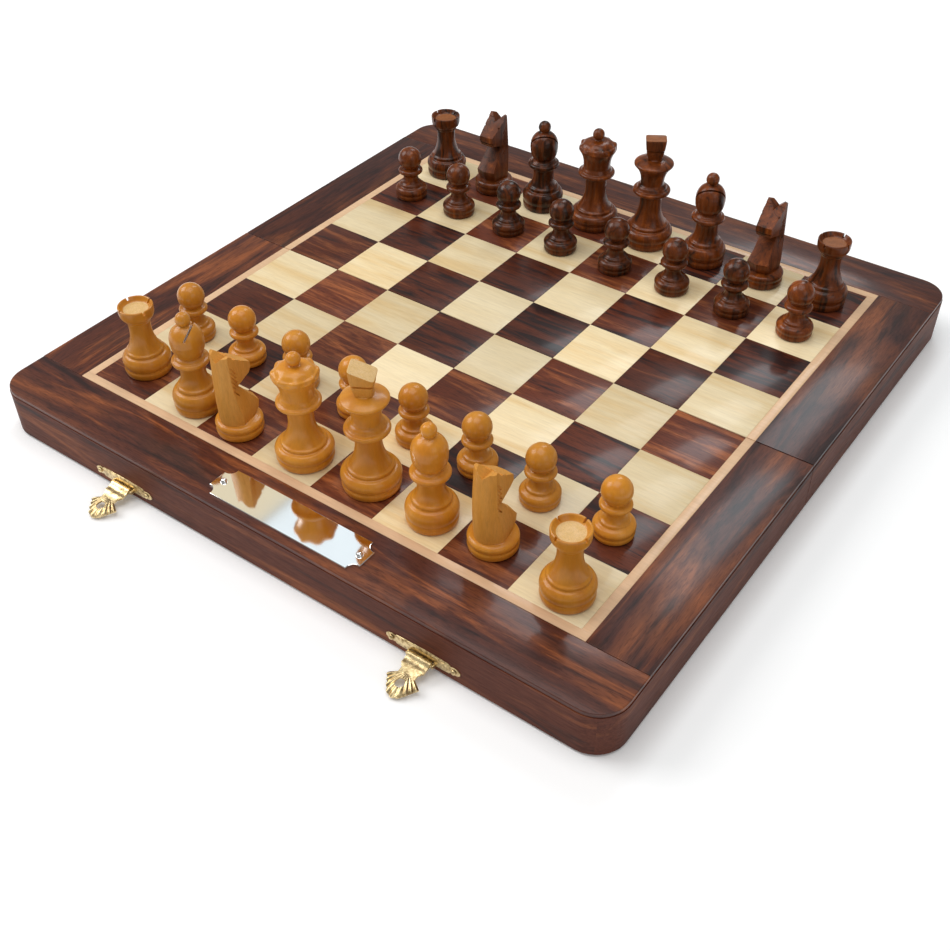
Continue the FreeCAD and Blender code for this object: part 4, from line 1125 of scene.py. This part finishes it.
def king_finial(figure, fall_turn, slope):
    """The king's finial: a square block with a groove round it, wider upwards, its top aslant.

    Each level is a rounded square |x|^n + |y|^n = w^n. The top is the plane
    z = c - s (x cos a + y sin a), with a the fall's turn and s its slope, and the levels above
    the groove close up on it evenly.
    """
    base, height = real_size("king")
    t = even_angles(FINIAL_FACES)
    ring = ((np.abs(np.cos(t)) ** FINIAL_POWER + np.abs(np.sin(t)) ** FINIAL_POWER)
            ** (-1 / FINIAL_POWER))
    corner = t + math.radians(FINIAL_TURN)
    unit = np.column_stack([ring * np.cos(corner), ring * np.sin(corner)])
    points = [np.column_stack([unit * w * base, np.full(FINIAL_FACES, z * height)])
              for w, z in FINIAL_FOOT]
    foot = FINIAL_FOOT[-1][1] * height
    fall = np.array([math.cos(math.radians(fall_turn)), math.sin(math.radians(fall_turn))])
    for w, rise in FINIAL_HEAD:
        flat = unit * w * base
        plane = FINIAL_TOP * height - flat @ fall * slope
        points.append(np.column_stack([flat, foot + (plane - foot) * rise]))
    shape = Shape()
    shape.add(np.concatenate(points), grid_faces(len(points), FINIAL_FACES, closed=True),
              figure=figure)
    return shape


# The knight's head in millimetres, from the foot up: back y and z, ridge x and y, front corner
# x, y and z, and the y of the middle of the front.
HEAD_ROWS = [
    (-7.9, 6.2, 6.7, -2.8, 4.6, 4.6, 6.2, 6.0), (-8.2, 9.6, 6.8, -3.2, 5.4, 6.6, 10.2, 8.4),
    (-8.1, 12.0, 6.7, -3.5, 5.2, 7.4, 13.0, 9.0), (-8.0, 16.0, 6.3, -4.3, 4.4, 4.0, 17.5, 4.8),
    (-7.8, 21.5, 5.7, -5.0, 3.6, -0.6, 24.0, -0.3), (-7.6, 23.5, 5.5, -5.2, 3.7, 0.2, 26.4, 0.5),
    (-7.5, 24.2, 5.5, -5.2, 3.4, 6.0, 26.6, 6.3), (-7.2, 28.5, 5.3, -5.2, 3.9, 7.0, 29.0, 7.3),
    (-7.0, 31.0, 5.2, -5.1, 3.8, 6.9, 31.6, 7.2), (-6.9, 35.5, 5.0, -5.0, 4.6, 0.3, 36.4, 0.4),
    (-6.6, 39.6, 4.8, -4.8, 4.6, -4.0, 40.4, -3.9),
]


def knight_head(figure):
    """The sawn head: at each level a rounded back, two ridges, and flat cheeks to the front.

    The back is the curve x = r s, y = a + (b - a)(1 - |s|^k) with s from -1 to 1, and k grows
    from 2.2 at the foot to 3 at the ears. The rise changes evenly from back to front.
    """
    s = np.linspace(-1.0, 1.0, 13)
    rings = []
    for power, (by, bz, rx, ry, fx, fy, fz, cy) in zip(np.linspace(2.2, 3.0, len(HEAD_ROWS)),
                                                       HEAD_ROWS):
        x = np.concatenate([rx * s, [fx, 0.0, -fx]])
        y = np.concatenate([ry + (by - ry) * (1 - np.abs(s) ** power), [fy, cy, fy]])
        z = bz + (fz - bz) * (y - by) / (fy - by)
        rings.append(np.column_stack([x, y, z]))
    count = len(rings[0])
    shape = Shape()
    shape.add(np.concatenate(rings) * MM, grid_faces(len(rings), count, closed=True),
              (np.arange(count)[::-1], np.arange((len(rings) - 1) * count, len(rings) * count)),
              figure)
    return shape


def along_axis(centre, axis, turn):
    """A placement whose Z runs along an axis, turned about it by some degrees."""
    matrix = Vector(axis).to_track_quat("Z", "Y").to_matrix().to_4x4()
    return Matrix.Translation(centre) @ matrix @ Matrix.Rotation(math.radians(turn), 4, "Z")


# The knight's cuts in millimetres: the cutter's three sides, its middle, and the axis about
# which it is turned by 45 degrees, if it is.
EAR_CUT = ((5.4, 30, 5.4), (0, 0, 40.8), "Y")
BROW_CUT = ((12, 2.0, 2.0), (0, -1.2, 38.6), "X")
MOUTH_CUT = ((12, 3.2, 0.45), (0, 7.6, 28.4), None)
EYE_CUT = ((2.4, 1.0, 1.0), (4.9, 1.6, 35.3), "X")
GROOVE_CUT, GROOVE_MIDDLE, GROOVE_WAY = (0.72, 0.72, 5.2), (5.1, -3.2), (-0.10, 0.5, -0.86)
GROOVE_RISES = (33.5, 31.3, 29.1, 26.9, 24.7, 22.5)


def head_cut(sides, middle, axis, mirror=1):
    """One box cutter of a knight, on the right of the head or mirrored to the left."""
    centre = (middle[0] * mirror * MM, middle[1] * MM, middle[2] * MM)
    turns = [(45, axis)] if axis else []
    return cutter("box", [side * MM for side in sides], place_at(centre, *turns))


def head_cuts():
    """Saw cuts of a knight: the V between the ears, the step in front of them, the mane's
    slanting grooves, the mouth and the eyes."""
    cuts = [head_cut(*EAR_CUT), head_cut(*BROW_CUT), head_cut(*MOUTH_CUT)]
    for side in (-1, 1):
        for rise in GROOVE_RISES:
            centre = (side * GROOVE_MIDDLE[0] * MM, GROOVE_MIDDLE[1] * MM, rise * MM)
            place = along_axis(centre, (side * GROOVE_WAY[0], *GROOVE_WAY[1:]), 45)
            cuts.append(cutter("box", [length * MM for length in GROOVE_CUT], place))
        cuts.append(head_cut(*EYE_CUT, mirror=side))
    return cuts


SLIT_LOW, SLIT_HIGH = (0.08, 0.780), (0.46, 0.925)  # its ends, as parts of base and height
SLIT_WIDE = 0.8 * MM


def slit_cut(turn, drop):
    """The saw cut in a bishop's mitre, as a thin leaning box turned about the axis."""
    base, height = real_size("bishop")
    low, high = (np.array([out * base, (rise - drop) * height])
                 for out, rise in (SLIT_LOW, SLIT_HIGH))
    out, rise = (low + high) / 2
    lean = math.degrees(math.atan2(*(high - low)))
    centre = (out * math.cos(math.radians(turn)), out * math.sin(math.radians(turn)), rise)
    return cutter("box", (SLIT_WIDE, 3 * base, float(np.linalg.norm(high - low))),
                  place_at(centre, (turn, "Z"), (lean, "Y")))


def set_down(piece, low, high, dark):
    """Move a piece's mesh onto its place on the board; the dark ones face the other way."""
    centre = (low + high) / 2
    points = np.empty(len(piece.data.vertices) * 3)
    piece.data.vertices.foreach_get("co", points)
    points = points.reshape(-1, 3)
    if dark:
        points[:, :2] *= -1
    points += (centre[0], centre[1], low[2])
    piece.data.vertices.foreach_set("co", points.ravel())
    piece.data.update()


def paint_floor(piece, material, radius, rise, level=0.0):
    """Give the faces within a radius, above a rise and level enough their own material."""
    mesh = piece.data
    mesh.materials.append(material)
    centres = np.empty(len(mesh.polygons) * 3)
    mesh.polygons.foreach_get("center", centres)
    centres = centres.reshape(-1, 3)
    normals = np.empty(len(mesh.polygons) * 3)
    mesh.polygons.foreach_get("normal", normals)
    upward = normals.reshape(-1, 3)[:, 2] >= level
    inside = (np.hypot(centres[:, 0], centres[:, 1]) < radius) & (centres[:, 2] > rise) & upward
    mesh.polygons.foreach_set("material_index", inside.astype(np.int32))


# Painted faces of a king's top: above this part of the height, and this level. Of a rook's
# floor: within this part of the base radius and above this part of the height.
KING_TOP, KING_LEVEL = 0.905, 0.7
ROOK_FLOOR, ROOK_FLOOR_RISE = 0.50, 0.9
# A rook's nicks: width as a part of the base radius, depth as a part of the height, and turn.
NICK_WIDE, NICK_DEEP, NICK_TURN = 0.10, 0.11, -14
# The felt: its radius as a part of the base radius, its corners, its thickness and its edge.
FELT_RADIUS, FELT_CORNERS, FELT_THICK, FELT_EDGE = 0.88, 48, 0.3 * MM, 0.05 * MM


def build_piece(name, kind, dark, index, sizes):
    """One chess piece: its turned wood, its sawn part if it has one, and the felt under it."""
    low, high = span(name)
    figure = seeded(CHESS_PIECE + index)
    tone, slot = ("sheesham", "piece_rosewood") if dark else ("boxwood", "boxwood")
    base, height = real_size(kind)
    turned = turned_wood(kind, sizes, figure).build(name + "_wood", MATERIALS[tone], TURNED_CRISP)
    parts = [turned]
    if kind == "knight":
        head = knight_head(figure).build(name + "_head", MATERIALS[tone + "_sawn"], SAWN_CRISP)
        saw(head, head_cuts(), SAWN_CRISP, figure)
        parts.append(head)
    if kind == "king":
        finial = king_finial(figure, *FALLS[name]).build(
            name + "_finial", MATERIALS[tone + "_sawn"], SAWN_CRISP)
        paint_floor(finial, MATERIALS[tone + "_end"], base, KING_TOP * height, KING_LEVEL)
        parts.append(finial)
    if kind == "rook":
        wide, deep = NICK_WIDE * base, NICK_DEEP * height
        place = place_at((0, 0, height), (NICK_TURN, "Z"))
        saw(turned, [cutter("box", (wide, 3 * base, deep), place),
                     cutter("box", (3 * base, wide, deep), place)], TURNED_CRISP, figure)
        paint_floor(turned, MATERIALS[tone + "_end"], ROOK_FLOOR * base, ROOK_FLOOR_RISE * height)
    if kind == "bishop":
        saw(turned, [slit_cut(*SLITS[name])], TURNED_CRISP, figure)
    for part in parts:
        set_down(part, low, high, dark)
        keep(part, name, name)
    pad = Shape()
    slab(pad, arc((0, 0), FELT_RADIUS * base, 0, 360 - 360 / FELT_CORNERS, FELT_CORNERS), 0.0,
         FELT_THICK, FELT_EDGE, FELT_EDGE)
    felt = pad.build(name + "_felt", MATERIALS["felt"])
    set_down(felt, low, high, dark)
    keep(felt, name, name)


class CHESS_OT_pieces(Operator):
    """Turn the 32 chess pieces and set them on their squares"""

    bl_idname = "chess.pieces"
    bl_label = "Chess Pieces"

    def execute(self, context):
        sizes = context.scene.chess_pieces
        names = [n for n in frame["nodes"] if n.split("_")[0] in ("white", "dark")]
        for index, name in enumerate(sorted(names)):
            colour, kind, _ = name.split("_")
            build_piece(name, kind, colour == "dark", index, sizes)
        return {"FINISHED"}


# ------------------------------------------------------------------ stage
# Each light: its name, place, the point that it faces, its two sides, watts and colour.
WHITE = (1.0, 1.0, 1.0)
LIGHTS = (
    ("softbox overhead", (0.0, -0.2, 1.3), (0, -0.2, 0), (1.0, 1.0), 8.0, WHITE),
    ("window from the left", (-1.25, -0.45, 1.1), (0, 0, 0.02), (0.9, 0.9), 13.0, WHITE),
    ("fill from the right", (1.2, -0.5, 0.8), (0, 0, 0.02), (0.8, 0.8), 2.0, WHITE),
    ("cool panel over the plate", (-0.47, 0.52, 0.95), (-0.47, 0.52, 0), (0.57, 0.2), 0.28,
     (0.80, 0.92, 1.0)),
    ("cool panel over the far right", (-0.22, 0.95, 0.95), (-0.22, 0.95, 0), (0.3, 0.9), 4.6,
     (0.86, 0.95, 1.0)),
    ("warm panel over the far left", (-0.99, 0.52, 0.95), (-0.99, 0.52, 0), (0.456, 0.25), 0.19,
     (1.0, 0.82, 0.46)),
)
ROOM_TINT, ROOM_LIGHT = (1.0, 0.99, 0.97, 1), 0.27
FLOOR_TONES = [(0.3, (0.97, 0.97, 0.97, 1)), (0.7, (0.99, 0.99, 0.99, 1))]
FLOOR_GLOW = 0.08
FLOOR_GAP = 0.02 * MM  # between the floor and the board's rims
FILM = 36.0  # width of the camera's film in millimetres
NEAREST = 0.01  # nothing nearer to the camera than this shows


def area_light(name, place, aim, size, power, colour):
    """A square softbox aimed at a point."""
    data = bpy.data.lights.new(name, "AREA")
    data.shape = "RECTANGLE"
    data.size, data.size_y = size
    data.energy = power
    data.color = colour
    light = linked(name, data)
    light.location = place
    light.rotation_euler = (Vector(aim) - Vector(place)).to_track_quat("-Z", "Y").to_euler()


def lay_floor(half):
    """A square floor just under the board, pale and faintly glowing."""
    floor = Shape()
    floor.add([(-half, -half, 0), (half, -half, 0), (half, half, 0), (-half, half, 0)],
              [(0, 1, 2, 3)])
    material, tree, shader = new_material("pale floor")
    place = tree.nodes.new("ShaderNodeTexCoord").outputs["Object"]
    cloud = node(tree, "ShaderNodeTexNoise", Vector=place, Scale=3.0)
    tree.links.new(ramp(tree, cloud.outputs[0], FLOOR_TONES), shader.inputs["Base Color"])
    finish(shader, Roughness=0.9, Emission_Color=(1.0, 1.0, 1.0, 1.0),
           Emission_Strength=FLOOR_GLOW)
    ground = floor.build("floor", material)
    ground.data.transform(Matrix.Translation((0, 0, CAD_BOX[0][2] - FLOOR_GAP)))


class CHESS_OT_stage(Operator):
    """Lay the pale floor and set the lights and the camera"""

    bl_idname = "chess.stage"
    bl_label = "Stage"

    def execute(self, context):
        stage = context.scene.chess_stage
        lay_floor(stage.floor_size / 2)
        world = bpy.data.worlds.new("soft room")
        world.use_nodes = True
        background = world.node_tree.nodes["Background"]
        background.inputs[0].default_value = ROOM_TINT
        background.inputs[1].default_value = ROOM_LIGHT
        context.scene.world = world
        for light in LIGHTS:
            area_light(*light)

        data = bpy.data.cameras.new("camera")
        data.lens = stage.lens
        data.sensor_width = FILM
        data.clip_start = NEAREST
        camera = linked("camera", data)
        camera.location = stage.camera_place
        camera.rotation_euler = stage.camera_turn
        context.scene.camera = camera
        context.scene.view_settings.view_transform = "Standard"
        return {"FINISHED"}


class CHESS_PT_panel(Panel):
    """Lists the parts of the chess set in the order that they are made"""

    bl_idname = "CHESS_PT_panel"
    bl_label = "Folding Chess Set"
    bl_space_type = "VIEW_3D"
    bl_region_type = "UI"
    bl_category = "Chess Set"

    def draw(self, context):
        layout = self.layout
        for group in (context.scene.chess_board, context.scene.chess_pieces,
                      context.scene.chess_stage):
            box = layout.box()
            for name in group.__annotations__:
                box.prop(group, name)
        for operator in OPERATORS:
            layout.operator(operator.bl_idname)


OPERATORS = (CHESS_OT_board, CHESS_OT_case, CHESS_OT_plate, CHESS_OT_fittings, CHESS_OT_pieces,
             CHESS_OT_stage)
CLASSES = (ChessBoardSizes, ChessPieceSizes, ChessStageSizes) + OPERATORS + (CHESS_PT_panel,)


def register():
    """Register the classes and hang their sizes on the scene."""
    for cls in CLASSES:
        bpy.utils.register_class(cls)
    bpy.types.Scene.chess_board = PointerProperty(type=ChessBoardSizes)
    bpy.types.Scene.chess_pieces = PointerProperty(type=ChessPieceSizes)
    bpy.types.Scene.chess_stage = PointerProperty(type=ChessStageSizes)


def unregister():
    """Take the sizes off the scene and unregister the classes."""
    del bpy.types.Scene.chess_stage
    del bpy.types.Scene.chess_pieces
    del bpy.types.Scene.chess_board
    for cls in reversed(CLASSES):
        bpy.utils.unregister_class(cls)


def main():
    """Make the whole set in order."""
    register()
    scene = bpy.context.scene
    make_board_woods(scene.chess_board)
    make_piece_woods(scene.chess_pieces)
    make_metals_and_cloths()
    bpy.ops.chess.board()
    bpy.ops.chess.case()
    bpy.ops.chess.plate()
    bpy.ops.chess.fittings()
    bpy.ops.chess.pieces()
    bpy.ops.chess.stage()


if __name__ == "__main__":
    main()
